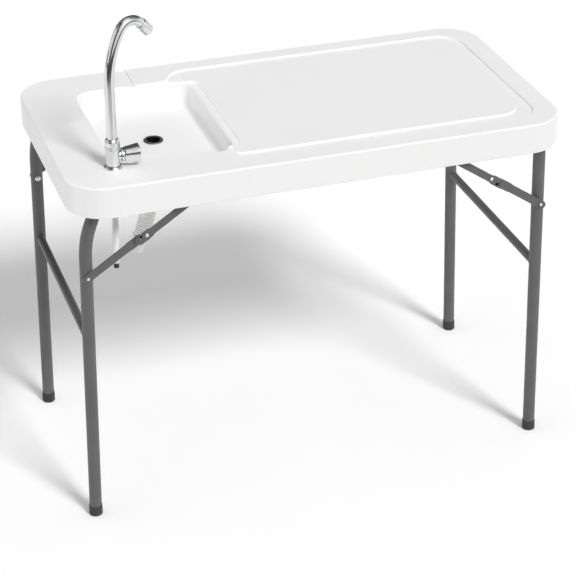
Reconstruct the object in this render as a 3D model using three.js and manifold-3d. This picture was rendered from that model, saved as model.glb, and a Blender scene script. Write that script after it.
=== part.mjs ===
// Folding fish cleaning table: moulded plastic worktop with a sink, gooseneck faucet, drain hose
// and two folding steel leg frames with two-link stays.
// Millimetres. +Z up, +X along the length (sink at the -X end), +Y to the rear,
// origin on the floor under the middle of the worktop.
import * as THREE from "three";
import { mergeVertices } from "three/addons/utils/BufferGeometryUtils.js";
import Module from "manifold-3d";

// ---------------------------------------------------------------- driving dimensions
const GAP = 0.3; // clearance between touching pieces

// worktop
const TOP_L = 1156;
const TOP_W = 602;
const TOP_Z = 863; // rim height above the floor
const SKIRT_H = 72;
const CORNER_R = 88;
const EDGE_R = 4.5; // rounding of the top edge
const SKIRT_T = 6.5; // skirt wall
const DECK_UNDER = 849.5; // underside of the deck
const CHANNEL_Z = 859; // floor of the run-off channel
const WORK_X1 = 525, WORK_Y = 256; // recessed working region
const PLATEAU = { x0: -166, x1: 492, y: 225 }; // raised cutting surface

// sink
const SINK = { x0: -461, x1: -179, y: 200, yc: 4, r: 46, floor: 811, wall: 4, slope: 10 };
const DRAIN_X = -320, DRAIN_Y = 4;
const DRAIN_HOLE_R = 18;

// leg frames
const TUBE_R = 14, TUBE_IN = 12.4, LEG_Y = 255;
const PIVOT_Z = 832, PIVOT_BAR_R = 11;
const RIGHT_PIVOT_X = 525.3, RIGHT_FOOT_X = 552.7;
const LEFT_PIVOT_X = -508, LEFT_FOOT_X = -559, LEFT_SLOPE = 0.0176;
const CROSSBAR_Z = 475, CROSSBAR_R = 10;
const CAP_R = 15.8, CAP_H = 26, CAP_FLOOR = 3;

// stays: distances from the tabletop centre plane of the lower link, the upper link and the bracket
const LOWER_Y0 = 269.6, LINK_T = 3, UPPER_Y0 = 276.4, BRACKET_Y0 = 279.8;
const LINK_W = 19;
const RIGHT_STAY = { bx: 531.59, bz: 641, dx: 250, dz: 832, bk: 128.03, kd: 212.226 };
const LEFT_STAY = { bx: -547.771, bz: 638, dx: -309, dz: 795.65, bk: 140.895, kd: 145.226 };

// faucet
const FAUCET_X = -463.5, FAUCET_Y = -204, HANDLE_Z = 890;
const SPOUT_R = 11, SPOUT_IN = 9.4, SPOUT_STRAIGHT = 1054, SPOUT_AZIMUTH = 20;
// the spout's bend: a long gentle arc, then a tight one (radius, degrees)
const SPOUT_BENDS = [[222, 31], [33, 107]];

// hoses
const SUPPLY_R = 7.4, SUPPLY_Z0 = 796.5, SUPPLY_Z1 = 629.4, SUPPLY_END_X = -467.8, CONNECTOR_Z1 = 616.8;
const DRAIN_HOSE_R = 19, DRAIN_HOSE_IN = 16;

const wasm = await Module();
wasm.setup();

// ---------------------------------------------------------------- helpers
function solid(geometry) {
  const g = geometry.index ? geometry.toNonIndexed() : geometry.clone();
  for (const key of Object.keys(g.attributes)) if (key !== "position") g.deleteAttribute(key);
  const m = mergeVertices(g, 1e-4);
  return new wasm.Manifold(
    new wasm.Mesh({
      numProp: 3,
      vertProperties: new Float32Array(m.attributes.position.array),
      triVerts: new Uint32Array(m.index.array),
    }),
  );
}

function geometryOf(manifold) {
  const mesh = manifold.getMesh();
  const positions = new Float32Array(mesh.triVerts.length * 3);
  for (let i = 0; i < mesh.triVerts.length; i++) {
    const v = mesh.triVerts[i] * mesh.numProp;
    positions[3 * i] = mesh.vertProperties[v];
    positions[3 * i + 1] = mesh.vertProperties[v + 1];
    positions[3 * i + 2] = mesh.vertProperties[v + 2];
  }
  const g = new THREE.BufferGeometry();
  g.setAttribute("position", new THREE.BufferAttribute(positions, 3));
  g.computeVertexNormals();
  return g;
}

// rounded rectangle outline from (x0, y0) to (x1, y1)
function roundRect(x0, y0, x1, y1, r) {
  const s = new THREE.Shape();
  s.moveTo(x0 + r, y0);
  s.lineTo(x1 - r, y0);
  s.absarc(x1 - r, y0 + r, r, -Math.PI / 2, 0, false);
  s.lineTo(x1, y1 - r);
  s.absarc(x1 - r, y1 - r, r, 0, Math.PI / 2, false);
  s.lineTo(x0 + r, y1);
  s.absarc(x0 + r, y1 - r, r, Math.PI / 2, Math.PI, false);
  s.lineTo(x0, y0 + r);
  s.absarc(x0 + r, y0 + r, r, Math.PI, 1.5 * Math.PI, false);
  return s;
}

function slab(shape, z0, z1, curveSegments = 8) {
  return new THREE.ExtrudeGeometry(shape, { depth: z1 - z0, bevelEnabled: false, curveSegments }).translate(0, 0, z0);
}

// solid tub from z0 up to z1, its lower edge bevelled by `b`
function tub(shape, z0, z1, b, curveSegments = 8, segments = 2) {
  const g = new THREE.ExtrudeGeometry(shape, {
    depth: z1 - z0,
    bevelEnabled: true,
    bevelThickness: b,
    bevelSize: b,
    bevelOffset: -b,
    bevelSegments: segments,
    curveSegments,
  }).translate(0, 0, z0 + b);
  return solid(g).subtract(solid(new THREE.BoxGeometry(3000, 3000, 100).translate(0, 0, z1 + 50)));
}

function polygon(r, n, phase = 0) {
  const pts = [];
  for (let i = 0; i < n; i++) {
    const a = phase + (2 * Math.PI * i) / n;
    pts.push(new THREE.Vector2(r * Math.cos(a), r * Math.sin(a)));
  }
  return pts;
}

// tube or rod swept along a curve
function sweep(curve, outer, inner, sides, steps) {
  const shape = new THREE.Shape(polygon(outer, sides, Math.PI / sides));
  if (inner) shape.holes.push(new THREE.Path(polygon(inner, sides, Math.PI / sides).reverse()));
  return new THREE.ExtrudeGeometry(shape, { extrudePath: curve, steps, bevelEnabled: false });
}

const V = (x, y, z) => new THREE.Vector3(x, y, z);

// solid of revolution: profile is [radius, height] pairs around Z
function turned(profile, segments = 24) {
  return new THREE.LatheGeometry(profile.map(([r, h]) => new THREE.Vector2(r, h)), segments).rotateX(Math.PI / 2);
}

// the same around the Y axis, heights along side * Y
function turnedY(profile, side, segments = 10) {
  const g = new THREE.LatheGeometry(profile.map(([r, h]) => new THREE.Vector2(r, h)), segments);
  return side < 0 ? g.rotateX(Math.PI) : g;
}

const root = new THREE.Group();

function colour(hex, roughness, metalness) {
  return { color: hex, roughness, metalness };
}
const PLASTIC = colour(0xededec, 0.5, 0);
const STEEL = colour(0x6c6d6f, 0.45, 0.3);
const ZINC = colour(0xc9cacc, 0.35, 0.9);
const RUBBER = colour(0x2e2e2f, 0.8, 0);
const CHROME = colour(0xd8dadc, 0.08, 1);
const HOSE = colour(0xf1f1f0, 0.45, 0);

function add(name, geometry, look) {
  const mesh = new THREE.Mesh(geometry, new THREE.MeshStandardMaterial(look));
  mesh.name = name;
  root.add(mesh);
  return mesh;
}

// ---------------------------------------------------------------- worktop
function buildTop() {
  const hx = TOP_L / 2, hy = TOP_W / 2, bottom = TOP_Z - SKIRT_H;
  // outer block, rounded at the top edge, cut flat at the skirt's lower edge
  const outerShape = roundRect(-hx, -hy, hx, hy, CORNER_R);
  const outer = new THREE.ExtrudeGeometry(outerShape, {
    depth: SKIRT_H + 20 - 2 * EDGE_R,
    bevelEnabled: true,
    bevelThickness: EDGE_R,
    bevelSize: EDGE_R,
    bevelOffset: -EDGE_R,
    bevelSegments: 2,
    curveSegments: 7,
  }).translate(0, 0, bottom - 20 + EDGE_R);
  let body = solid(outer);
  body = body.subtract(solid(new THREE.BoxGeometry(TOP_L + 40, TOP_W + 40, 60).translate(0, 0, bottom - 30)));
  // hollow underside
  const t = SKIRT_T;
  body = body.subtract(solid(slab(roundRect(-hx + t, -hy + t, hx - t, hy - t, CORNER_R - t), bottom - 5, DECK_UNDER, 7)));
  // sink tub hanging below the deck
  const s = SINK, w = s.wall;
  body = body.add(tub(roundRect(s.x0 - w, s.yc - s.y - w, s.x1 + w, s.yc + s.y + w, s.r + w), s.floor - w, DECK_UNDER + 2, s.slope, 4));
  // recessed working region with its S-shaped steps towards the sink
  const r = 60, front = s.yc - s.y + 1, rear = s.yc + s.y - 1;
  const work = new THREE.Shape();
  work.moveTo(-246, front);
  work.bezierCurveTo(-234, front, -229, front - 7, -222, front - 21);
  work.bezierCurveTo(-211, -238, -196, -WORK_Y, -165, -WORK_Y);
  work.lineTo(WORK_X1 - r, -WORK_Y);
  work.absarc(WORK_X1 - r, -WORK_Y + r, r, -Math.PI / 2, 0, false);
  work.lineTo(WORK_X1, WORK_Y - r);
  work.absarc(WORK_X1 - r, WORK_Y - r, r, 0, Math.PI / 2, false);
  work.lineTo(-165, WORK_Y);
  work.bezierCurveTo(-196, WORK_Y, -211, 245, -222, rear + 21);
  work.bezierCurveTo(-229, rear + 7, -234, rear, -246, rear);
  work.closePath();
  let recess = solid(slab(work, CHANNEL_Z, TOP_Z + 10, 6));
  // raised cutting surface stays in the recess; its left corners reach to the sink's corners
  const p = PLATEAU;
  const plate = new THREE.Shape();
  plate.moveTo(-154, -p.y);
  plate.lineTo(p.x1 - 45, -p.y);
  plate.absarc(p.x1 - 45, -p.y + 45, 45, -Math.PI / 2, 0, false);
  plate.lineTo(p.x1, p.y - 45);
  plate.absarc(p.x1 - 45, p.y - 45, 45, 0, Math.PI / 2, false);
  plate.lineTo(-162, p.y);
  plate.absarc(-162, p.y - 27, 27, Math.PI / 2, Math.PI, false);
  plate.lineTo(-199, 192);
  plate.lineTo(-198, 184);
  plate.lineTo(-186, 184);
  plate.quadraticCurveTo(p.x0, 184, p.x0, 164);
  plate.lineTo(p.x0, -156);
  plate.quadraticCurveTo(p.x0, -176, -186, -176);
  plate.lineTo(-198, -176);
  plate.lineTo(-199, -184);
  plate.lineTo(-189, -187);
  plate.absarc(-154, -p.y + 35, 35, Math.PI, 1.5 * Math.PI, false);
  recess = recess.subtract(solid(slab(plate, CHANNEL_Z - 5, TOP_Z, 5)));
  body = body.subtract(recess);
  // sink cavity, drain hole, faucet hole
  const cavity = tub(roundRect(s.x0, s.yc - s.y, s.x1, s.yc + s.y, s.r), s.floor, TOP_Z + 30, s.slope, 4);
  body = body.subtract(cavity);
  body = body.subtract(solid(turned([[0, 780], [DRAIN_HOLE_R, 780], [DRAIN_HOLE_R, 830], [0, 830]], 16).translate(DRAIN_X, DRAIN_Y, 0)));
  body = body.subtract(solid(turned([[0, 830], [11, 830], [11, 880], [0, 880]], 16).translate(FAUCET_X, FAUCET_Y, 0)));
  // shallow finger notch across the rear rim
  const notch = new THREE.Shape();
  notch.moveTo(-309, TOP_Z + 5);
  notch.lineTo(-309, TOP_Z - 3);
  notch.lineTo(-336, TOP_Z - 3);
  notch.lineTo(-352, TOP_Z + 0.5);
  notch.lineTo(-352, TOP_Z + 5);
  notch.closePath();
  const bar = new THREE.ExtrudeGeometry(notch, { depth: 110, bevelEnabled: false }).rotateX(Math.PI / 2).translate(0, 310, 0);
  body = body.subtract(solid(bar));
  return geometryOf(body);
}
add("tabletop", buildTop(), PLASTIC);

// ---------------------------------------------------------------- drain fitting and hose
add(
  "drain_flange",
  turned([
    [13, 798.6], [16.8, 798.6], [16.8, 811.3], [23, 811.3], [23, 812.3], [21, 813.6], [15.5, 813.6], [13, 811],
    [13, 798.6],
  ], 16).translate(DRAIN_X, DRAIN_Y, 0),
  colour(0x77787a, 0.3, 0.9),
);
add(
  "drain_lock_nut",
  turned([[17.3, 799], [26, 799], [26, 804.5], [24, 806.6], [17.3, 806.6], [17.3, 799]], 16).translate(DRAIN_X, DRAIN_Y, 0),
  HOSE,
);
const drainHosePath = new THREE.CatmullRomCurve3(
  [[-320, 798], [-320.3, 780], [-322, 740], [-330, 680], [-342.4, 620], [-349.2, 595.5], [-356.5, 572.6]].map(([x, z]) => V(x, DRAIN_Y, z)),
  false,
  "centripetal",
);
add("drain_hose", sweep(drainHosePath, DRAIN_HOSE_R, DRAIN_HOSE_IN, 12, 8), HOSE);
// tapered cuff, turned about its own axis and leaned with the hose end
const cuffDir = V(-372, 0, 534.5).sub(V(-357, 0, 571)).normalize();
const cuffTurn = new THREE.Quaternion().setFromUnitVectors(V(0, 0, 1), cuffDir);
add(
  "drain_hose_cuff",
  turned([[16, 0], [22, 0], [22, 8], [18.4, 10], [14, 36], [14, 40.2], [11, 40.2], [11, 36], [15.2, 10], [16, 8], [16, 0]], 14)
    .applyQuaternion(cuffTurn)
    .translate(-357, DRAIN_Y, 571),
  HOSE,
);

// ---------------------------------------------------------------- faucet
const fx = FAUCET_X, fy = FAUCET_Y;
const at = (g) => g.translate(fx, fy, 0);
add("faucet_flange", at(turned([[11, 863.3], [20.5, 863.3], [20.5, 865.5], [17.5, 869.2], [11, 869.2], [11, 863.3]], 18)), CHROME);
{
  // body with its threaded shank and the side boss that carries the valve
  const core = solid(at(turned([[0, 797], [10, 797], [10, 869.5], [15.6, 869.5], [15.6, 909], [0, 909]], 18)));
  const boss = solid(
    new THREE.CylinderGeometry(11.5, 11.5, 22, 14).rotateZ(Math.PI / 2).translate(fx + 6, fy, HANDLE_Z),
  );
  add("faucet_body", geometryOf(core.add(boss)), CHROME);
}
add(
  "spout_nut",
  at(turned([[11.4, 909.3], [16.5, 909.3], [16.5, 926], [12.6, 932], [11.4, 932], [11.4, 909.3]], 18)),
  CHROME,
);
const az = (SPOUT_AZIMUTH * Math.PI) / 180;
const spoutPoint = (d, z) => V(fx + d * Math.cos(az), fy + d * Math.sin(az), z);
// stations along the centre line: distance from the faucet axis, height, angle from the vertical
const SPOUT_STATIONS = [[0, 909.6, 0], [0, SPOUT_STRAIGHT, 0]];
SPOUT_BENDS.forEach(([radius, sweepDeg], i) => {
  const [d0, z0, a0] = SPOUT_STATIONS[SPOUT_STATIONS.length - 1];
  const steps = i ? 10 : 4;
  for (let k = 1; k <= steps; k++) {
    const a = a0 + ((sweepDeg * Math.PI) / 180) * (k / steps);
    SPOUT_STATIONS.push([
      d0 + radius * (Math.cos(a0) - Math.cos(a)),
      z0 + radius * (Math.sin(a) - Math.sin(a0)),
      a,
    ]);
  }
});
const SPOUT_STEPS = SPOUT_STATIONS.length - 1;
function station(t) {
  const k = Math.min(SPOUT_STEPS - 1, Math.floor(t * SPOUT_STEPS + 1e-9));
  const w = t * SPOUT_STEPS - k;
  return SPOUT_STATIONS[k].map((v, i) => v + (SPOUT_STATIONS[k + 1][i] - v) * w);
}
class SpoutCurve extends THREE.Curve {
  getPoint(t, target = new THREE.Vector3()) {
    const [d, z] = station(t);
    return target.copy(spoutPoint(d, z));
  }
  getPointAt(t, target) {
    return this.getPoint(t, target);
  }
  getTangent(t, target = new THREE.Vector3()) {
    const a = station(t)[2];
    return target.set(Math.sin(a) * Math.cos(az), Math.sin(a) * Math.sin(az), Math.cos(a));
  }
  getTangentAt(t, target) {
    return this.getTangent(t, target);
  }
}
add("spout", sweep(new SpoutCurve(), SPOUT_R, SPOUT_IN, 12, SPOUT_STEPS), CHROME);
{
  const [endD, endZ, a] = SPOUT_STATIONS[SPOUT_STEPS];
  const end = spoutPoint(endD, endZ);
  const dir = V(Math.sin(a) * Math.cos(az), Math.sin(a) * Math.sin(az), Math.cos(a));
  const q = new THREE.Quaternion().setFromUnitVectors(V(0, 0, 1), dir);
  add(
    "aerator",
    turned([[8.5, GAP], [12.3, GAP], [13, 2], [13, 28], [12, 30], [9.6, 30], [9.6, 24], [8.5, 23], [8.5, GAP]], 14)
      .applyQuaternion(q)
      .translate(end.x, end.y, end.z),
    CHROME,
  );
}
add(
  "handle_bonnet",
  turned([[0, 0], [14.6, 0], [15.4, 1.4], [15.4, 4.8], [14.4, 6.2], [0, 6.2]], 14)
    .rotateY(Math.PI / 2)
    .translate(fx + 17.3, fy, HANDLE_Z),
  CHROME,
);
add(
  "faucet_handle",
  turned([[0, 0], [14.8, 0], [15.9, 1.6], [18.2, 17], [20.6, 31], [20.8, 33.6], [20.2, 34.7], [0, 34.7]], 16)
    .rotateY(Math.PI / 2)
    .translate(fx + 23.9, fy, HANDLE_Z),
  CHROME,
);
add("faucet_washer", at(turned([[10.4, 846.2], [19, 846.2], [19, 849.2], [10.4, 849.2], [10.4, 846.2]], 14)), RUBBER);
{
  const nut = new THREE.Shape(polygon(19.5, 6));
  nut.holes.push(new THREE.Path(polygon(10.6, 14).reverse()));
  add("faucet_lock_nut", at(slab(nut, 836, 845.9)), colour(0xb9a36a, 0.35, 0.9));
}
const supplyPath = new THREE.CatmullRomCurve3(
  [V(fx, fy, SUPPLY_Z0), V(fx, fy, 782), V(-464.9, fy, 740), V(-466.8, fy, 690), V(SUPPLY_END_X, fy, 650), V(SUPPLY_END_X, fy, SUPPLY_Z1)],
  false,
  "centripetal",
);
add("supply_hose", sweep(supplyPath, SUPPLY_R, 0, 10, 7), HOSE);
add(
  "hose_connector",
  turned([[0, CONNECTOR_Z1], [5.4, CONNECTOR_Z1], [6, 618], [6, 629], [0, 629]], 12).translate(SUPPLY_END_X, fy, 0),
  RUBBER,
);

// ---------------------------------------------------------------- leg frames
const RIGHT_SLOPE = (RIGHT_PIVOT_X - RIGHT_FOOT_X) / PIVOT_Z;

// foot cap leaned with its leg by a shear, so that its sole stays flat on the floor
function footCap(x, y, slope) {
  const g = turned(
    [[0, 0], [CAP_R - 1.5, 0], [CAP_R, 1.5], [CAP_R, CAP_H - 1], [CAP_R - 0.5, CAP_H], [14.6, CAP_H], [14.6, CAP_FLOOR], [0, CAP_FLOOR]],
    14,
  );
  g.applyMatrix4(new THREE.Matrix4().set(1, 0, slope, 0, 0, 1, 0, 0, 0, 0, 1, 0, 0, 0, 0, 1));
  return g.translate(x, y, 0);
}

// leg tube with the cross hole for its stay rivet
function legTube(curve, steps, y, stay) {
  let t = solid(sweep(curve, TUBE_R, TUBE_IN, 12, steps));
  const hole = new THREE.CylinderGeometry(4.35, 4.35, 60, 10).translate(stay.bx, y, stay.bz);
  t = t.subtract(solid(hole));
  return geometryOf(t);
}

function rightCurve(y) {
  const dir = V(RIGHT_PIVOT_X - RIGHT_FOOT_X, 0, PIVOT_Z).normalize();
  const end = V(RIGHT_PIVOT_X, y, PIVOT_Z).addScaledVector(dir, -PIVOT_BAR_R - 0.5);
  return new THREE.LineCurve3(V(RIGHT_FOOT_X + RIGHT_SLOPE * 3.9, y, 3.9), end);
}

// straight from the foot to 660 mm, then bent in towards the pivot
const LEG_STEPS = 11;
class LeftLegCurve extends THREE.Curve {
  constructor(y) {
    super();
    this.line = (z) => LEFT_FOOT_X + LEFT_SLOPE * z;
    this.y = y;
    const bend = [[660, 0], [685, 0], [708, 1.4], [731, 5], [755, 11.5], [778, 20], [800, 27.6], [820.4, 33.3]];
    this.bend = new THREE.CatmullRomCurve3(bend.map(([z, off]) => V(this.line(z) + off, y, z)), false, "centripetal");
  }
  getPoint(t, target = new THREE.Vector3()) {
    const k = 1 / LEG_STEPS;
    if (t < k) {
      const z = 3.7 + ((660 - 3.7) * t) / k;
      return target.set(this.line(z), this.y, z);
    }
    return this.bend.getPoint((t - k) / (1 - k), target);
  }
  getPointAt(t, target) {
    return this.getPoint(t, target);
  }
  getTangentAt(t, target = new THREE.Vector3()) {
    const k = 1 / LEG_STEPS;
    if (t <= k) return target.set(LEFT_SLOPE, 0, 1).normalize();
    const u = (t - k) / (1 - k), d = 1e-3;
    const a = this.bend.getPoint(Math.max(0, u - d)), b = this.bend.getPoint(Math.min(1, u + d));
    return target.copy(b).sub(a).normalize();
  }
  getTangent(t, target) {
    return this.getTangentAt(t, target);
  }
}

// pivot bar turning in two strap hinges under the deck
function pivotBar(x) {
  return sweep(new THREE.LineCurve3(V(x, -269, PIVOT_Z), V(x, 269, PIVOT_Z)), PIVOT_BAR_R, 9.4, 14, 1);
}
function pivotBracket(x, side) {
  const s = new THREE.Shape();
  const top = DECK_UNDER - GAP - PIVOT_Z;
  s.moveTo(-26, top);
  s.lineTo(-26, top - 3);
  s.lineTo(-14.5, top - 3);
  s.lineTo(-14.5, 0);
  s.absarc(0, 0, 14.5, Math.PI, 2 * Math.PI, false);
  s.lineTo(14.5, top - 3);
  s.lineTo(26, top - 3);
  s.lineTo(26, top);
  s.closePath();
  const hole = new THREE.Path(polygon(11.7, 14, 0));
  s.holes.push(hole);
  const g = new THREE.ExtrudeGeometry(s, { depth: 24, bevelEnabled: false, curveSegments: 8 });
  // shape plane is X-Z
  return g.rotateX(Math.PI / 2).translate(x, side * 224 + 12, PIVOT_Z);
}
function crossbar(x) {
  return sweep(new THREE.LineCurve3(V(x, -240.6, CROSSBAR_Z), V(x, 240.6, CROSSBAR_Z)), CROSSBAR_R, 8.6, 12, 1);
}

// ---------------------------------------------------------------- stays
// flat link with round ends between (ax, az) and (bx, bz), as a plate in a vertical plane;
// its first end runs on past the hole by tail
function link(ax, az_, bx, bz, y0, side, holeA, holeB, endA = LINK_W / 2, endB = LINK_W / 2, tail = 0) {
  const len = Math.hypot(bx - ax, bz - az_);
  const s = new THREE.Shape();
  s.absarc(-tail, 0, endA, Math.PI / 2, 1.5 * Math.PI, false);
  s.absarc(len, 0, endB, -Math.PI / 2, Math.PI / 2, false);
  s.closePath();
  if (holeA) s.holes.push(new THREE.Path(polygon(holeA, 10, 0)));
  if (holeB) s.holes.push(new THREE.Path(polygon(holeB, 10, 0).map((p) => new THREE.Vector2(p.x + len, p.y))));
  const g = new THREE.ExtrudeGeometry(s, { depth: LINK_T, bevelEnabled: false, curveSegments: 6 });
  // shape X -> along the link, shape Y -> up, extrusion -> -Y after the turn
  g.rotateX(Math.PI / 2);
  g.rotateY(-Math.atan2(bz - az_, bx - ax));
  return g.translate(ax, side > 0 ? y0 + LINK_T : -y0, az_);
}

// rivets, heights measured from the centre plane outwards
const legRivet = (stay, side) =>
  turnedY(
    [[0, 238.2], [5, 238.2], [7, 239.6], [7, 240.7], [4, 240.7], [4, 272.9], [7.6, 272.9], [7.6, 274], [5, 275.9], [0, 275.9]],
    side,
  ).translate(stay.bx, 0, stay.bz);
const kneeRivet = (x, z, side) =>
  turnedY(
    [[0, 273], [6, 273], [6, 276.1], [3.2, 276.1], [3.2, 279.7], [6.6, 279.7], [6.6, 280.8], [4.6, 282.2], [0, 282.2]],
    side,
  ).translate(x, 0, z);
const bracketRivet = (stay, side) =>
  turnedY([[0, 276.4], [3.2, 276.4], [3.2, 283.1], [6.6, 283.1], [6.6, 284.2], [4.6, 285.6], [0, 285.6]], side).translate(
    stay.dx, 0, stay.dz,
  );

function stayBracket(stay, side) {
  const top = DECK_UNDER - GAP - stay.dz;
  const plate = new THREE.Shape();
  plate.moveTo(-14, top);
  plate.lineTo(-14, top * 0.75);
  plate.lineTo(-9.5, 0);
  plate.absarc(0, 0, 9.5, Math.PI, 2 * Math.PI, false);
  plate.lineTo(14, top * 0.75);
  plate.lineTo(14, top);
  plate.closePath();
  plate.holes.push(new THREE.Path(polygon(3.6, 10, 0)));
  const g = new THREE.ExtrudeGeometry(plate, { depth: 3, bevelEnabled: false, curveSegments: 6 })
    .rotateX(Math.PI / 2)
    .translate(stay.dx, side > 0 ? BRACKET_Y0 + 3 : -BRACKET_Y0, stay.dz);
  const flange = new THREE.BoxGeometry(28, 9, 3).translate(stay.dx, side * (BRACKET_Y0 + 1.5 + 4.5), DECK_UNDER - GAP - 1.5);
  return geometryOf(solid(g).add(solid(flange)));
}

for (const [end, stay, pivotX] of [["right", RIGHT_STAY, RIGHT_PIVOT_X], ["left", LEFT_STAY, LEFT_PIVOT_X]]) {
  const right = end === "right";
  const slope = right ? RIGHT_SLOPE : LEFT_SLOPE;
  const footX = right ? RIGHT_FOOT_X : LEFT_FOOT_X;
  add(`${end}_pivot_bar`, pivotBar(pivotX), STEEL);
  add(`${end}_crossbar`, crossbar(footX + slope * CROSSBAR_Z), STEEL);
  const u = [(stay.dx - stay.bx) / (stay.bk + stay.kd), (stay.dz - stay.bz) / (stay.bk + stay.kd)];
  const kx = stay.bx + u[0] * stay.bk, kz = stay.bz + u[1] * stay.bk;
  for (const [where, side] of [["front", -1], ["rear", 1]]) {
    const tag = `${end}_${where}`;
    const y = side * LEG_Y;
    const curve = right ? rightCurve(y) : new LeftLegCurve(y);
    add(`${tag}_leg`, legTube(curve, right ? 1 : LEG_STEPS, y, stay), STEEL);
    add(`${tag}_foot_cap`, footCap(footX, y, slope), RUBBER);
    add(`${tag}_pivot_strap`, pivotBracket(pivotX, side), STEEL);
    add(`${tag}_stay_lower`, link(stay.bx, stay.bz, kx, kz, LOWER_Y0, side, 4.35, 0, 9.5, 11, 4.5), STEEL);
    add(`${tag}_stay_upper`, link(kx, kz, stay.dx, stay.dz, UPPER_Y0, side, 3.6, 3.6), STEEL);
    add(`${tag}_stay_bracket`, stayBracket(stay, side), STEEL);
    add(`${tag}_leg_rivet`, legRivet(stay, side), ZINC);
    add(`${tag}_knee_rivet`, kneeRivet(kx, kz, side), ZINC);
    add(`${tag}_bracket_rivet`, bracketRivet(stay, side), ZINC);
  }
}

export default root;
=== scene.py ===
import math

import bpy
import bmesh
import numpy as np
from mathutils import Matrix, Vector
from mathutils.geometry import delaunay_2d_cdt


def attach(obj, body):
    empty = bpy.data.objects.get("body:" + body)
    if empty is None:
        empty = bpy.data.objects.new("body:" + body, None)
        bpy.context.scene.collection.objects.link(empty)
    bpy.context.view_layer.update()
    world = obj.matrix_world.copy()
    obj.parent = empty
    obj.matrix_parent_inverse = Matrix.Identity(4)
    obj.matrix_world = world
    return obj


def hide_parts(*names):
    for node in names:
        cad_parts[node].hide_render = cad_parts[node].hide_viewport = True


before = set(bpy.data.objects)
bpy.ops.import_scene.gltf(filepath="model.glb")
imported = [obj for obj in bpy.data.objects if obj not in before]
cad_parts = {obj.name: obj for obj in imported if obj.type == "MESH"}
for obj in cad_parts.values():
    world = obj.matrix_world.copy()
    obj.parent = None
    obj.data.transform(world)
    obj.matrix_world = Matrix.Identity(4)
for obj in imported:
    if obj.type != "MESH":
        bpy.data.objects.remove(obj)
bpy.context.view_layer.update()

MM = 0.001
scene = bpy.context.scene
scene.view_settings.view_transform = "Standard"
scene.view_settings.look = "None"

# ------------------------------------------------------------------ camera
CAM_POS = Vector((-1.27924, -3.77678, 2.66068))
CAM_R = Vector((0.94693, -0.32144, 0.0))
CAM_F = Vector((0.27860, 0.82073, -0.49879))
CAM_U = CAM_R.cross(CAM_F).normalized()
cam_data = bpy.data.cameras.new("camera")
cam_data.sensor_fit = "HORIZONTAL"
cam_data.sensor_width = 36.0
cam_data.lens = 117.74
cam_data.clip_end = 60
cam = bpy.data.objects.new("camera", cam_data)
m = Matrix.Identity(4)
for i in range(3):
    m[i][0] = CAM_R[i]
    m[i][1] = CAM_U[i]
    m[i][2] = -CAM_F[i]
    m[i][3] = CAM_POS[i]
cam.matrix_world = m
scene.collection.objects.link(cam)
scene.camera = cam


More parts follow.
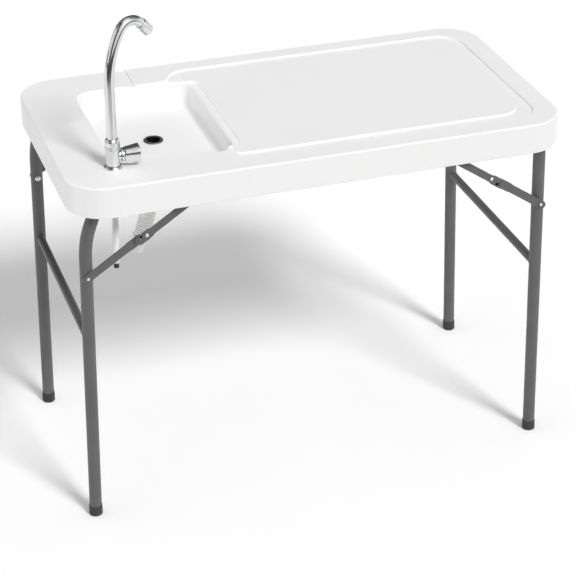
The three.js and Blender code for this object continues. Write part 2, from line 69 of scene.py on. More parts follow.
# ------------------------------------------------------------------ materials
class Nodes:
    """A small helper for building one material's node tree."""

    def __init__(self, name):
        self.mat = bpy.data.materials.new(name)
        self.mat.use_nodes = True
        self.t = self.mat.node_tree
        self.t.nodes.clear()
        self.out = self.t.nodes.new("ShaderNodeOutputMaterial")
        self.b = self.t.nodes.new("ShaderNodeBsdfPrincipled")
        self.t.links.new(self.b.outputs[0], self.out.inputs[0])
        self.geo = self.t.nodes.new("ShaderNodeTexCoord")
        self.pos = self.geo.outputs["Object"]

    def link(self, a, b):
        self.t.links.new(a, b)

    def noise(self, scale, detail=3.0, rough=0.5, vec=None, dims="3D"):
        n = self.t.nodes.new("ShaderNodeTexNoise")
        n.inputs["Scale"].default_value = scale
        n.inputs["Detail"].default_value = detail
        n.inputs["Roughness"].default_value = rough
        self.link(vec or self.pos, n.inputs["Vector"])
        return n.outputs["Fac"]

    def voronoi(self, scale, feature="F1", vec=None):
        n = self.t.nodes.new("ShaderNodeTexVoronoi")
        n.feature = feature
        n.inputs["Scale"].default_value = scale
        self.link(vec or self.pos, n.inputs["Vector"])
        return n.outputs["Distance"]

    def scaled(self, sx, sy, sz):
        n = self.t.nodes.new("ShaderNodeMapping")
        n.inputs["Scale"].default_value = (sx, sy, sz)
        self.link(self.pos, n.inputs["Vector"])
        return n.outputs[0]

    def ramp(self, fac, stops):
        n = self.t.nodes.new("ShaderNodeValToRGB")
        e = n.color_ramp.elements
        while len(e) < len(stops):
            e.new(0.5)
        for el, (p, c) in zip(e, stops):
            el.position = p
            el.color = (*c, 1) if len(c) == 3 else c
        self.link(fac, n.inputs[0])
        return n.outputs[0]

    def range(self, fac, lo, hi, a=0.0, b=1.0):
        n = self.t.nodes.new("ShaderNodeMapRange")
        n.inputs["From Min"].default_value = a
        n.inputs["From Max"].default_value = b
        n.inputs["To Min"].default_value = lo
        n.inputs["To Max"].default_value = hi
        self.link(fac, n.inputs["Value"])
        return n.outputs[0]

    def mix(self, fac, a, b):
        n = self.t.nodes.new("ShaderNodeMix")
        n.data_type = "RGBA"
        for sock, val in ((n.inputs[0], fac), (n.inputs[6], a), (n.inputs[7], b)):
            if isinstance(val, (int, float)):
                sock.default_value = val
            elif isinstance(val, tuple):
                sock.default_value = (*val, 1)
            else:
                self.link(val, sock)
        return n.outputs[2]

    def math(self, op, a, b=None, clamp=False):
        n = self.t.nodes.new("ShaderNodeMath")
        n.operation = op
        n.use_clamp = clamp
        for sock, val in zip(n.inputs, (a, b)):
            if val is None:
                continue
            if isinstance(val, (int, float)):
                sock.default_value = val
            else:
                self.link(val, sock)
        return n.outputs[0]

    def bump(self, heights):
        """heights: list of (height socket, strength, distance)"""
        prev = None
        for h, s, d in heights:
            n = self.t.nodes.new("ShaderNodeBump")
            n.inputs["Strength"].default_value = s
            n.inputs["Distance"].default_value = d
            self.link(h, n.inputs["Height"])
            if prev is not None:
                self.link(prev, n.inputs["Normal"])
            prev = n.outputs[0]
        self.link(prev, self.b.inputs["Normal"])

    def set(self, **kw):
        names = {
            "metallic": "Metallic", "rough": "Roughness", "ior": "IOR", "spec": "Specular IOR Level",
            "coat": "Coat Weight", "coat_rough": "Coat Roughness", "sss": "Subsurface Weight",
        }
        for k, v in kw.items():
            self.b.inputs[names[k]].default_value = v

    def colour(self, sock):
        if isinstance(sock, tuple):
            self.b.inputs["Base Color"].default_value = (*sock, 1)
        else:
            self.link(sock, self.b.inputs["Base Color"])

    def roughness(self, sock):
        self.link(sock, self.b.inputs["Roughness"])


def mat_top():
    n = Nodes("top_plastic")
    big = n.noise(3.2, 3, 0.55)
    fine = n.noise(420, 2, 0.6)
    scuff = n.noise(60, 6, 0.7, n.scaled(1, 9, 1))
    c = n.ramp(big, [(0.3, (0.815, 0.815, 0.812)), (0.7, (0.845, 0.845, 0.843))])
    c = n.mix(n.range(scuff, 0.0, 0.16, 0.60, 0.80), c, (0.72, 0.72, 0.715))
    geo = n.t.nodes.new("ShaderNodeNewGeometry")
    side = n.t.nodes.new("ShaderNodeSeparateXYZ")
    n.link(geo.outputs["Normal"], side.inputs[0])
    place = n.t.nodes.new("ShaderNodeSeparateXYZ")
    n.link(geo.outputs["Position"], place.inputs[0])

    def times(a, b):
        m = n.t.nodes.new("ShaderNodeMath")
        m.operation = "MULTIPLY"
        n.link(a, m.inputs[0])
        n.link(b, m.inputs[1])
        return m.outputs[0]

    # painted shade: the front face of the skirt gets a duller colour, so it reads darker than the light alone leaves it
    painted_skirt_shade = times(n.range(side.outputs[1], 1.0, 0.0, -0.88, -0.30), n.range(place.outputs[1], 1.0, 0.0, -0.280, -0.262))
    c = n.mix(painted_skirt_shade, c, (0.742, 0.742, 0.739))
    # painted light: the sink's inner wall beside the work area faces away from the key light and gets a paler colour,
    # so it reads brighter
    painted_wall_light = times(n.range(side.outputs[0], 1.0, 0.0, -0.75, -0.15), n.range(place.outputs[0], 1.0, 0.0, -0.165, -0.150))
    painted_wall_light = times(painted_wall_light, n.range(place.outputs[0], 0.0, 1.0, -0.300, -0.250))
    c = n.mix(painted_wall_light, c, (0.955, 0.955, 0.952))
    n.colour(c)
    n.roughness(n.range(n.noise(24, 4, 0.6), 0.40, 0.56))
    n.set(spec=0.42, ior=1.5)
    pebble = n.voronoi(620)
    n.bump([(big, 0.05, 0.002), (fine, 0.10, 0.0003), (pebble, 0.12, 0.00025)])
    return n.mat


def mat_steel(name="frame_steel", base=0.082):
    n = Nodes(name)
    blotch = n.noise(14, 4, 0.6)
    grain = n.noise(900, 2, 0.6)
    c = n.ramp(blotch, [(0.3, (base * 0.90, base * 0.905, base * 0.915)), (0.72, (base * 1.12, base * 1.125, base * 1.14))])
    speck = n.range(n.noise(1500, 1, 0.5), 0.0, 0.35, 0.62, 0.8)
    c = n.mix(speck, c, (base * 1.7, base * 1.7, base * 1.72))
    n.colour(c)
    n.roughness(n.range(n.noise(70, 4, 0.6), 0.36, 0.50))
    n.set(spec=0.5, metallic=0.0, coat=0.12, coat_rough=0.35)
    n.bump([(grain, 0.16, 0.0002), (n.noise(240, 2, 0.5), 0.10, 0.0004)])
    return n.mat


def mat_rubber(name="cap_rubber", base=0.032, spec=0.35):
    n = Nodes(name)
    dust = n.noise(80, 5, 0.7)
    n.colour(n.ramp(dust, [(0.35, (base * 0.85,) * 3), (0.75, (base * 1.5, base * 1.5, base * 1.48))]))
    n.roughness(n.range(dust, 0.58, 0.80))
    n.set(spec=spec)
    n.bump([(n.noise(700, 3, 0.6), 0.25, 0.0003)])
    return n.mat


def mat_chrome():
    n = Nodes("chrome")
    smear = n.noise(40, 5, 0.65, n.scaled(1, 1, 0.25))
    n.colour(n.ramp(smear, [(0.2, (0.70, 0.705, 0.71)), (0.8, (0.78, 0.785, 0.79))]))
    n.roughness(n.range(smear, 0.10, 0.22, 0.3, 0.8))
    n.set(metallic=1.0)
    n.bump([(n.noise(55, 2, 0.5), 0.02, 0.0005)])
    return n.mat


def mat_metal(name, rgb, r0, r1, turned_scale=None):
    n = Nodes(name)
    grime = n.noise(90, 4, 0.65)
    n.colour(n.ramp(grime, [(0.25, tuple(x * 0.82 for x in rgb)), (0.75, tuple(min(1.0, x * 1.06) for x in rgb))]))
    n.roughness(n.range(n.noise(300, 3, 0.6), r0, r1))
    n.set(metallic=1.0)
    n.bump([(n.noise(turned_scale or 500, 2, 0.5, n.scaled(1, 1, 4)), 0.08, 0.0002)])
    return n.mat


def mat_hose(name="hose_white", base=(0.80, 0.80, 0.79)):
    n = Nodes(name)
    cloud = n.noise(26, 3, 0.5)
    n.colour(n.ramp(cloud, [(0.25, tuple(x * 0.955 for x in base)), (0.8, base)]))
    n.roughness(n.range(n.noise(120, 3, 0.6), 0.30, 0.44))
    n.set(spec=0.45)
    n.bump([(n.noise(300, 2, 0.5), 0.08, 0.0003)])
    return n.mat


M = {
    "top_plastic": mat_top(),
    "frame_steel": mat_steel(),
    "cap_rubber": mat_rubber(),
    # near-black: the real rubber of the faucet washer, and painted shade where it fills the drain's bore and the links'
    # eyes
    "seal_rubber": mat_rubber("seal_rubber", 0.004, 0.08),
    "chrome": mat_chrome(),
    "zinc": mat_metal("zinc", (0.72, 0.73, 0.75), 0.22, 0.38),
    "drain_metal": mat_metal("drain_metal", (0.36, 0.365, 0.37), 0.25, 0.40),
    "brass": mat_metal("brass", (0.66, 0.47, 0.20), 0.22, 0.40),
    "hose_white": mat_hose(),
    "fitting_white": mat_hose("fitting_white", (0.78, 0.78, 0.775)),
}


# ------------------------------------------------------------------ mesh helpers (millimetres in, metres out)
def piece(name, verts, faces, body, slot, replaces=(), sharp=38, mats=None, face_mat=None, recalc=True, weighted=True):
    v = np.asarray(verts, float) * MM
    me = bpy.data.meshes.new(name)
    me.from_pydata([tuple(p) for p in v], [], [tuple(f) for f in faces])
    if face_mat is not None:
        me.polygons.foreach_set("material_index", np.asarray(face_mat, np.int32))
    bm = bmesh.new()
    bm.from_mesh(me)
    bmesh.ops.remove_doubles(bm, verts=bm.verts, dist=1e-6)
    if recalc:
        bmesh.ops.recalc_face_normals(bm, faces=bm.faces)
    for f in bm.faces:
        f.smooth = True
    bm.to_mesh(me)
    bm.free()
    me.update()
    me.set_sharp_from_angle(angle=math.radians(sharp))
    ob = bpy.data.objects.new(name, me)
    scene.collection.objects.link(ob)
    for k in mats or [slot]:
        me.materials.append(M[k])
    if weighted:
        w = ob.modifiers.new("normals", "WEIGHTED_NORMAL")
        w.mode = "FACE_AREA"
        w.keep_sharp = True
    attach(ob, body)
    if replaces:
        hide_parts(*replaces)
    return ob


def join(*parts):
    """Joins (verts, faces) lists."""
    vs, fs, n = [], [], 0
    for v, f in parts:
        v = np.asarray(v, float).reshape(-1, 3)
        vs.append(v)
        fs += [tuple(i + n for i in q) for q in f]
        n += len(v)
    return np.vstack(vs), fs


def fillet(poly, radii, n=4, closed=False):
    """Rounds the corners of a 2D polyline. radii is one number or one per point."""
    P = [np.asarray(p, float) for p in poly]
    if not hasattr(radii, "__len__"):
        radii = [radii] * len(P)
    out = []
    for i, p in enumerate(P):
        if (not closed and i in (0, len(P) - 1)) or radii[i] <= 0:
            out.append(tuple(p))
            continue
        a, b = P[i - 1], P[(i + 1) % len(P)]
        u, w = a - p, b - p
        lu, lw = np.linalg.norm(u), np.linalg.norm(w)
        if lu < 1e-9 or lw < 1e-9:
            continue
        u, w = u / lu, w / lw
        ang = math.acos(max(-1, min(1, float(u @ w))))
        if ang > math.pi - 0.02 or ang < 0.02:
            out.append(tuple(p))
            continue
        t = min(radii[i] / math.tan(ang / 2), 0.49 * lu, 0.49 * lw)
        r = t * math.tan(ang / 2)
        bis = (u + w) / np.linalg.norm(u + w)
        c = p + bis * (r / math.sin(ang / 2))
        s, e = p + u * t - c, p + w * t - c
        a0 = math.atan2(s[1], s[0])
        a1 = math.atan2(e[1], e[0])
        d = (a1 - a0 + math.pi) % (2 * math.pi) - math.pi
        for k in range(n + 1):
            q = a0 + d * k / n
            out.append((c[0] + r * math.cos(q), c[1] + r * math.sin(q)))
    return out


def frame_of(direction):
    """3x3 with columns x, y, z where z is the direction."""
    z = np.asarray(direction, float)
    z = z / np.linalg.norm(z)
    h = np.array([0, 1.0, 0]) if abs(z[1]) < 0.9 else np.array([1.0, 0, 0])
    x = np.cross(h, z)
    x /= np.linalg.norm(x)
    return np.stack([x, np.cross(z, x), z], 1)


def lathe(profile, origin=(0, 0, 0), direction=(0, 0, 1), seg=48, closed=False, radius=None):
    """profile: (r, h) pairs. closed joins the last to the first. radius(r, h, angle) may vary the radius."""
    prof = list(profile)
    F = frame_of(direction)
    o = np.asarray(origin, float)
    verts, rows = [], []
    for r, h in prof:
        if r < 1e-6:
            rows.append([len(verts)])
            verts.append(o + F[:, 2] * h)
        else:
            row = []
            for k in range(seg):
                a = 2 * math.pi * k / seg
                rr = radius(r, h, a) if radius else r
                row.append(len(verts))
                verts.append(o + F @ np.array([rr * math.cos(a), rr * math.sin(a), h]))
            rows.append(row)
    faces = []
    pairs = list(zip(rows, rows[1:])) + ([(rows[-1], rows[0])] if closed else [])
    for a, b in pairs:
        if len(a) == 1 and len(b) == 1:
            continue
        for k in range(seg):
            k2 = (k + 1) % seg
            if len(a) == 1:
                faces.append((a[0], b[k2], b[k]))
            elif len(b) == 1:
                faces.append((a[k], a[k2], b[0]))
            else:
                faces.append((a[k], a[k2], b[k2], b[k]))
    return np.array(verts), faces


def rings_along(points, offsets, seg, start=None):
    """Frames along a polyline, carried without twist. offsets is not used."""
    P = np.asarray(points, float)
    T = np.gradient(P, axis=0)
    T /= np.linalg.norm(T, axis=1)[:, None]
    nrm = frame_of(T[0])[:, 0] if start is None else np.asarray(start, float)
    out = []
    for i in range(len(P)):
        nrm = nrm - T[i] * (nrm @ T[i])
        nrm /= np.linalg.norm(nrm)
        bin_ = np.cross(T[i], nrm)
        out.append((P[i], nrm, bin_, T[i]))
    return out


def tube(points, radius, seg=32, inner=None, edge=0.0):
    """Closed tube along a polyline. radius and inner may be lists. A hollow tube has ring ends."""
    P = np.asarray(points, float)
    n = len(P)
    R = np.full(n, radius, float) if np.isscalar(radius) else np.asarray(radius, float)
    fr = rings_along(P, None, seg)
    verts, rows = [], []

    def ring(i, r, shift=0.0):
        p, a, b, t = fr[i]
        row = []
        for k in range(seg):
            q = 2 * math.pi * k / seg
            row.append(len(verts))
            verts.append(p + t * shift + (a * math.cos(q) + b * math.sin(q)) * r)
        rows.append(row)

    if edge:
        ring(0, R[0] - edge)
        ring(0, R[0] - edge * 0.3, edge * 0.3)
        ring(0, R[0], edge)
        for i in range(1, n - 1):
            ring(i, R[i])
        ring(n - 1, R[-1], -edge)
        ring(n - 1, R[-1] - edge * 0.3, -edge * 0.3)
        ring(n - 1, R[-1] - edge)
    else:
        for i in range(n):
            ring(i, R[i])
    faces = []
    if inner is not None:
        I = np.full(n, inner, float) if np.isscalar(inner) else np.asarray(inner, float)
        for i in range(n - 1, -1, -1):
            ring(i, I[i])
    loops = list(zip(rows, rows[1:]))
    if inner is not None:
        loops.append((rows[-1], rows[0]))
    for a, b in loops:
        for k in range(seg):
            k2 = (k + 1) % seg
            faces.append((a[k], a[k2], b[k2], b[k]))
    if inner is None:
        faces.append(tuple(rows[0][::-1]))
        faces.append(tuple(rows[-1]))
    return np.array(verts), faces


def catmull(points, per=8):
    """Centripetal Catmull-Rom through the points, as the hose and leg centre lines are drawn."""
    P = [np.asarray(p, float) for p in points]
    out = []
    for i in range(len(P) - 1):
        p1, p2 = P[i], P[i + 1]
        p0 = P[i - 1] if i else 2 * P[0] - P[1]
        p3 = P[i + 2] if i + 2 < len(P) else 2 * P[-1] - P[-2]
        d = [max(np.linalg.norm(b - a) ** 0.5, 1e-4) for a, b in ((p0, p1), (p1, p2), (p2, p3))]
        t1 = (p1 - p0) / d[0] - (p2 - p0) / (d[0] + d[1]) + (p2 - p1) / d[1]
        t2 = (p2 - p1) / d[1] - (p3 - p1) / (d[1] + d[2]) + (p3 - p2) / d[2]
        t1, t2 = t1 * d[1], t2 * d[1]
        for k in range(per if i < len(P) - 2 else per + 1):
            t = k / per
            c2, c3 = -3 * p1 + 3 * p2 - 2 * t1 - t2, 2 * p1 - 2 * p2 + t1 + t2
            out.append(p1 + t1 * t + c2 * t * t + c3 * t ** 3)
    return np.array(out)


def resample(points, step):
    P = np.asarray(points, float)
    s = np.r_[0, np.cumsum(np.linalg.norm(np.diff(P, axis=0), axis=1))]
    n = max(2, int(round(s[-1] / step)) + 1)
    q = np.linspace(0, s[-1], n)
    return np.stack([np.interp(q, s, P[:, i]) for i in range(3)], 1), s[-1]


def plate(outline, holes, z0, z1, bevel=0.5, place=None):
    """Plate with the outline and holes (2D loops, outline anticlockwise), its rims bevelled. place maps (x, y, z) to the row frame."""
    loops = [np.asarray(outline, float)] + [np.asarray(h, float)[::-1] for h in holes]
    verts, faces = [], []

    def inset(L, d):
        a = L - np.roll(L, 1, 0)
        b = np.roll(L, -1, 0) - L
        a /= np.linalg.norm(a, axis=1)[:, None]
        b /= np.linalg.norm(b, axis=1)[:, None]
        t = a + b
        t /= np.linalg.norm(t, axis=1)[:, None]
        nrm = np.stack([-t[:, 1], t[:, 0]], 1)
        cosh = np.clip((a * t).sum(1), 0.5, 1)
        return L + nrm * (d / cosh)[:, None]

    caps = [[], []]
    for L in loops:
        n = len(L)
        levels = [(bevel, z0), (bevel * 0.3, z0 + bevel * 0.3), (0, z0 + bevel), (0, z1 - bevel), (bevel * 0.3, z1 - bevel * 0.3), (bevel, z1)]
        rows = []
        for d, z in levels:
            Q = inset(L, d)
            rows.append(list(range(len(verts), len(verts) + n)))
            verts += [(x, y, z) for x, y in Q]
        for a, b in zip(rows, rows[1:]):
            for k in range(n):
                k2 = (k + 1) % n
                faces.append((a[k], a[k2], b[k2], b[k]))
        caps[0].append(rows[0])
        caps[1].append(rows[-1])
    for which, cap in enumerate(caps):
        pts, edges, ids = [], [], []
        for row in cap:
            n0 = len(pts)
            pts += [Vector(verts[i][:2]) for i in row]
            ids += row
            edges += [(n0 + k, n0 + (k + 1) % len(row)) for k in range(len(row))]
        vs, _, fs, ov, _, _ = delaunay_2d_cdt(pts, edges, [], 0, 1e-5)
        back = [ids[o[0]] if o else None for o in ov]
        cen = np.array([[sum(vs[i][c] for i in f) / len(f) for c in (0, 1)] for f in fs])
        keep = inside(cen, np.array([verts[i][:2] for i in cap[0]]))
        for row in cap[1:]:
            keep &= ~inside(cen, np.array([verts[i][:2] for i in row]))
        for f, k in zip(fs, keep):
            if k:
                q = [back[i] for i in f]
                faces.append(tuple(q if which else q[::-1]))
    V = np.array(verts)
    if place is not None:
        V = place(V)
    return V, faces


def inside(pts, poly):
    """Which points lie in the closed polygon."""
    x, y = pts[:, 0][:, None], pts[:, 1][:, None]
    x0, y0 = poly[:, 0][None], poly[:, 1][None]
    x1, y1 = np.roll(poly[:, 0], -1)[None], np.roll(poly[:, 1], -1)[None]
    with np.errstate(divide="ignore", invalid="ignore"):
        cross = ((y0 > y) != (y1 > y)) & (x < (x1 - x0) * (y - y0) / (y1 - y0) + x0)
    return cross.sum(1) % 2 == 1


def circle(cx, cy, r, n, phase=0.0):
    return [(cx + r * math.cos(phase + 2 * math.pi * k / n), cy + r * math.sin(phase + 2 * math.pi * k / n)) for k in range(n)]


def rrect(x0, y0, x1, y1, r, arc=10, step=40.0):
    """Anticlockwise rounded rectangle."""
    out = []
    corners = [((x1 - r, y0 + r), -90), ((x1 - r, y1 - r), 0), ((x0 + r, y1 - r), 90), ((x0 + r, y0 + r), 180)]
    for (cx, cy), a0 in corners:
        for k in range(arc + 1):
            a = math.radians(a0 + 90 * k / arc)
            out.append((cx + r * math.cos(a), cy + r * math.sin(a)))
    full = []
    for i, p in enumerate(out):
        q = out[(i + 1) % len(out)]
        full.append(p)
        d = math.dist(p, q)
        if d > step:
            n = int(math.ceil(d / step))
            full += [(p[0] + (q[0] - p[0]) * k / n, p[1] + (q[1] - p[1]) * k / n) for k in range(1, n)]
    return full


# ------------------------------------------------------------------ worktop
HX, HY, RIM, DECK_UNDER, SKIRT_BOTTOM = 578.0, 301.0, 863.0, 849.5, 791.0
CORNER = 88.0
EDGE = 4.5
CHANNEL = 859.0
SINK = dict(x0=-461.0, x1=-179.0, y=200.0, yc=4.0, r=46.0)
SINK_FLOOR = 811.0
DRAIN = (-320.0, 4.0)
FAUCET = (-463.5, -204.0)
STAY_X = (250.0, -309.0)


def outline_params():
    """Stations round the skirt: position, outward normal and the inset of the ribbed inner wall."""
    L1, L2, arc = 2 * (HX - CORNER), 2 * (HY - CORNER), math.pi / 2 * CORNER
    total = 2 * (L1 + L2) + 4 * arc
    count = 88
    pitch = total / count

    def at(s):
        s %= total
        if s < L1:
            return (-HX + CORNER + s, -HY), (0.0, -1.0)
        s -= L1
        if s < arc:
            a = -math.pi / 2 + s / CORNER
            return (HX - CORNER + CORNER * math.cos(a), -HY + CORNER + CORNER * math.sin(a)), (math.cos(a), math.sin(a))
        s -= arc
        if s < L2:
            return (HX, -HY + CORNER + s), (1.0, 0.0)
        s -= L2
        if s < arc:
            a = s / CORNER
            return (HX - CORNER + CORNER * math.cos(a), HY - CORNER + CORNER * math.sin(a)), (math.cos(a), math.sin(a))
        s -= arc
        if s < L1:
            return (HX - CORNER - s, HY), (0.0, 1.0)
        s -= L1
        if s < arc:
            a = math.pi / 2 + s / CORNER
            return (-HX + CORNER + CORNER * math.cos(a), HY - CORNER + CORNER * math.sin(a)), (math.cos(a), math.sin(a))
        s -= arc
        if s < L2:
            return (-HX, HY - CORNER - s), (-1.0, 0.0)
        s -= L2
        a = math.pi + s / CORNER
        return (-HX + CORNER + CORNER * math.cos(a), -HY + CORNER + CORNER * math.sin(a)), (math.cos(a), math.sin(a))

    stations = []
    for k in range(count):
        s0 = k * pitch + 6
        for ds, rib in ((0, 0), (1.6, 1), (6.5, 1), (11.4, 1), (13, 0), (17, 0), (22, 0), (27.5, 0), (33, 0)):
            stations.append((s0 + ds, rib))
    # stations at the notch in the rear rim
    rear = L1 + 2 * arc + L2
    for x in (-353, -347, -341, -335, -329, -323, -317, -312.5, -310.6, -309.3, -308.0):
        stations.append((rear + (HX - CORNER - x), -1))
    stations.sort()
    pos, nrm, rib = [], [], []
    last = None
    for s, r in stations:
        if last is not None and s - last < 0.7:
            continue
        last = s
        p, n = at(s)
        if r == -1:
            ph = (s - 6) % pitch
            r = 1 if 1.6 <= ph <= 11.4 else 0
        if r and any(abs(p[0] - x) < 24 for x in STAY_X) and abs(p[1]) > HY - 1:
            r = 0
        pos.append(p)
        nrm.append(n)
        rib.append(r)
    return np.array(pos), np.array(nrm), np.array(rib, float)


OUT_P, OUT_N, OUT_RIB = outline_params()


def notch(x, y):
    """Depth of the shallow notch across the rear rim: it deepens gently towards its sharp right bank."""
    x, y = np.asarray(x, float), np.asarray(y, float)
    t = np.clip((x + 353) / (353 - 310.6), 0, 1)
    d = 3.7 * t * t * (3 - 2 * t)
    d = np.where(x > -310.6, 3.7 * np.clip((-308.6 - x) / 2.0, 0, 1), d)
    return np.where(y > 120, d, 0.0)


def work_outline():
    """Closed outline of the recessed work area; its S-shaped steps end on the sink's lip."""
    pts = []

    def bez(p0, p1, p2, p3, n):
        for k in range(n):
            t = k / n
            a, b, c, d = (1 - t) ** 3, 3 * t * (1 - t) ** 2, 3 * t * t * (1 - t), t ** 3
            pts.append((a * p0[0] + b * p1[0] + c * p2[0] + d * p3[0], a * p0[1] + b * p1[1] + c * p2[1] + d * p3[1]))

    def line(p0, p1, step=14):
        n = max(1, int(math.dist(p0, p1) / step))
        for k in range(n):
            pts.append((p0[0] + (p1[0] - p0[0]) * k / n, p0[1] + (p1[1] - p0[1]) * k / n))

    def arc(cx, cy, r, a0, a1, n):
        for k in range(n):
            a = math.radians(a0 + (a1 - a0) * k / n)
            pts.append((cx + r * math.cos(a), cy + r * math.sin(a)))

    W, front, rear = 256.0, -195.0, 203.0
    bez((-246, front), (-234, front), (-229, front - 7), (-222, front - 21), 10)
    bez((-222, front - 21), (-211, -238), (-196, -W), (-165, -W), 14)
    line((-165, -W), (465, -W))
    arc(465, -W + 60, 60, -90, 0, 14)
    line((525, -W + 60), (525, W - 60))
    arc(465, W - 60, 60, 0, 90, 14)
    line((465, W), (-165, W))
    bez((-165, W), (-196, W), (-211, 245), (-222, rear + 21), 14)
    bez((-222, rear + 21), (-229, rear + 7), (-234, rear), (-246, rear), 10)
    line((-246, rear), (-252, 188), 8)
    line((-252, 188), (-252, -180), 20)
    line((-252, -180), (-246, front), 8)
    return np.array(pts)


WORK = work_outline()


def plateau_outline():
    """Raised cutting surface; its left corners reach to the corners of the sink, with a drip step between them."""
    y = 225.0
    poly = [(-189, -y), (492, -y), (492, y), (-189, y), (-189, 195), (-199, 192), (-198, 184), (-166, 184), (-166, -176), (-198, -176), (-199, -184), (-189, -187)]
    rad = [35, 45, 45, 27, 3, 0, 0, 20, 20, 0, 0, 3]
    out = fillet(poly, rad, 10, closed=True)
    full = []
    for i, p in enumerate(out):
        q = out[(i + 1) % len(out)]
        if math.dist(p, q) < 1e-6:
            continue
        full.append(tuple(p))
        n = int(math.dist(p, q) / 30)
        full += [(p[0] + (q[0] - p[0]) * k / n, p[1] + (q[1] - p[1]) * k / n) for k in range(1, n)]
    return np.array(full)


PLATEAU = plateau_outline()


def signed(pts, poly):
    """Distance to the closed polyline, positive outside."""
    A, B = poly, np.roll(poly, -1, 0)
    d2 = np.full(len(pts), 1e18)
    AB = B - A
    L2 = (AB ** 2).sum(1)
    for i in range(0, len(pts), 2000):
        P = pts[i : i + 2000]
        w = P[:, None] - A[None]
        t = np.clip((w * AB[None]).sum(2) / L2, 0, 1)
        q = w - AB[None] * t[..., None]
        d2[i : i + 2000] = (q ** 2).sum(2).min(1)
    d = np.sqrt(d2)
    return np.where(inside(pts, poly), -d, d)


def rr_signed(pts, x0, y0, x1, y1, r):
    cx, cy, hx, hy = (x0 + x1) / 2, (y0 + y1) / 2, (x1 - x0) / 2, (y1 - y0) / 2
    q = np.abs(pts - [cx, cy]) - np.array([hx - r, hy - r])
    return np.linalg.norm(np.maximum(q, 0), axis=1) + np.minimum(q.max(1), 0) - r


def s_step(s, half=2.0):
    """0 inside, 1 outside, with rounded shoulders."""
    t = np.clip((s + half) / (2 * half), 0, 1)
    return t * t * t * (t * (6 * t - 15) + 10)


# sink wall: convex lip, drafted wall, generous concave fillet
LIP_R, WALL_A, FIL_R, DEPTH = 5.5, math.radians(84), 17.0, 52.0
_pts = []
for k in range(9):
    a = WALL_A * k / 8
    _pts.append((-1.5 + LIP_R * math.sin(a), LIP_R * (1 - math.cos(a))))
_d0, _p0 = _pts[-1]
_drop = DEPTH - _p0 - FIL_R * (1 - math.cos(WALL_A))
_d1 = _d0 + _drop / math.tan(WALL_A)
for k in range(1, 4):
    _pts.append((_d0 + (_d1 - _d0) * k / 3, _p0 + _drop * k / 3))
for k in range(1, 13):
    a = WALL_A * (1 - k / 12)
    _pts.append((_d1 + FIL_R * (math.sin(WALL_A) - math.sin(a)), DEPTH - FIL_R * (1 - math.cos(a))))
SINK_D = np.array([p[0] for p in _pts])
SINK_P = np.array([p[1] for p in _pts])


def sink_family(d):
    """Sink outline inset by d; its corner radius never closes up."""
    s = SINK
    r = max(s["r"] - d, 15.0)
    return rrect(s["x0"] + d, s["yc"] - s["y"] + d, s["x1"] - d, s["yc"] + s["y"] - d, r, arc=12, step=26)


def sink_inset(pts):
    """Inset of each point inside the sink outline, by the same family of outlines."""
    s = SINK
    lo = np.full(len(pts), -60.0)
    hi = np.full(len(pts), 130.0)
    for _ in range(26):
        mid = (lo + hi) / 2
        r = np.maximum(s["r"] - mid, 15.0)
        cx, cy = (s["x0"] + s["x1"]) / 2, s["yc"]
        hx, hy = (s["x1"] - s["x0"]) / 2 - mid, s["y"] - mid
        q = np.abs(pts - [cx, cy]) - np.stack([hx - r, hy - r], 1)
        sd = np.linalg.norm(np.maximum(q, 0), axis=1) + np.minimum(q.max(1), 0) - r
        ins = sd < 0
        lo = np.where(ins, mid, lo)
        hi = np.where(ins, hi, mid)
    return (lo + hi) / 2


def top_z(pts):
    b = CHANNEL + (RIM - CHANNEL) * s_step(signed(pts, WORK))
    b = np.minimum(b, RIM - notch(pts[:, 0], pts[:, 1]))
    b = np.maximum(b, CHANNEL)
    b = b + (RIM - CHANNEL) * (1 - s_step(signed(pts, PLATEAU)))
    d = sink_inset(pts)
    p = np.interp(d, SINK_D, SINK_P, left=0.0, right=DEPTH)
    z = b - p * (b - SINK_FLOOR) / DEPTH
    # the floor falls slightly to the drain
    rad = np.hypot(pts[:, 0] - DRAIN[0], pts[:, 1] - DRAIN[1])
    z = np.where(d > SINK_D[-1] - 0.01, SINK_FLOOR + 0.25 * np.clip((rad - 24) / 80, 0, 1) ** 2, z)
    return z


def offset_loop(poly, d):
    a = poly - np.roll(poly, 1, 0)
    b = np.roll(poly, -1, 0) - poly
    a = a / np.linalg.norm(a, axis=1)[:, None]
    b = b / np.linalg.norm(b, axis=1)[:, None]
    t = a + b
    t /= np.linalg.norm(t, axis=1)[:, None]
    return poly + np.stack([t[:, 1], -t[:, 0]], 1) * d


def triangulate(loops, lines, boundary, holes):
    pts, edges = [], []
    for L in loops:
        n0 = len(pts)
        pts += [Vector((float(p[0]), float(p[1]))) for p in L]
        edges += [(n0 + k, n0 + (k + 1) % len(L)) for k in range(len(L))]
    for L in lines:
        n0 = len(pts)
        pts += [Vector((float(p[0]), float(p[1]))) for p in L]
        edges += [(n0 + k, n0 + k + 1) for k in range(len(L) - 1)]
    vs, _, fs, *_ = delaunay_2d_cdt(pts, edges, [], 0, 1e-4)
    V = np.array([(v[0], v[1]) for v in vs])
    F = np.array([f for f in fs if len(f) == 3])
    cen = V[F].mean(1)
    keep = inside(cen, np.asarray(boundary))
    for h in holes:
        keep &= ~inside(cen, np.asarray(h))
    F = F[keep]
    a, b, c = V[F[:, 0]], V[F[:, 1]], V[F[:, 2]]
    area = (b[:, 0] - a[:, 0]) * (c[:, 1] - a[:, 1]) - (b[:, 1] - a[:, 1]) * (c[:, 0] - a[:, 0])
    F = F[np.abs(area) > 1e-7]
    area = area[np.abs(area) > 1e-7]
    F[area < 0] = F[area < 0][:, ::-1]
    return V, F


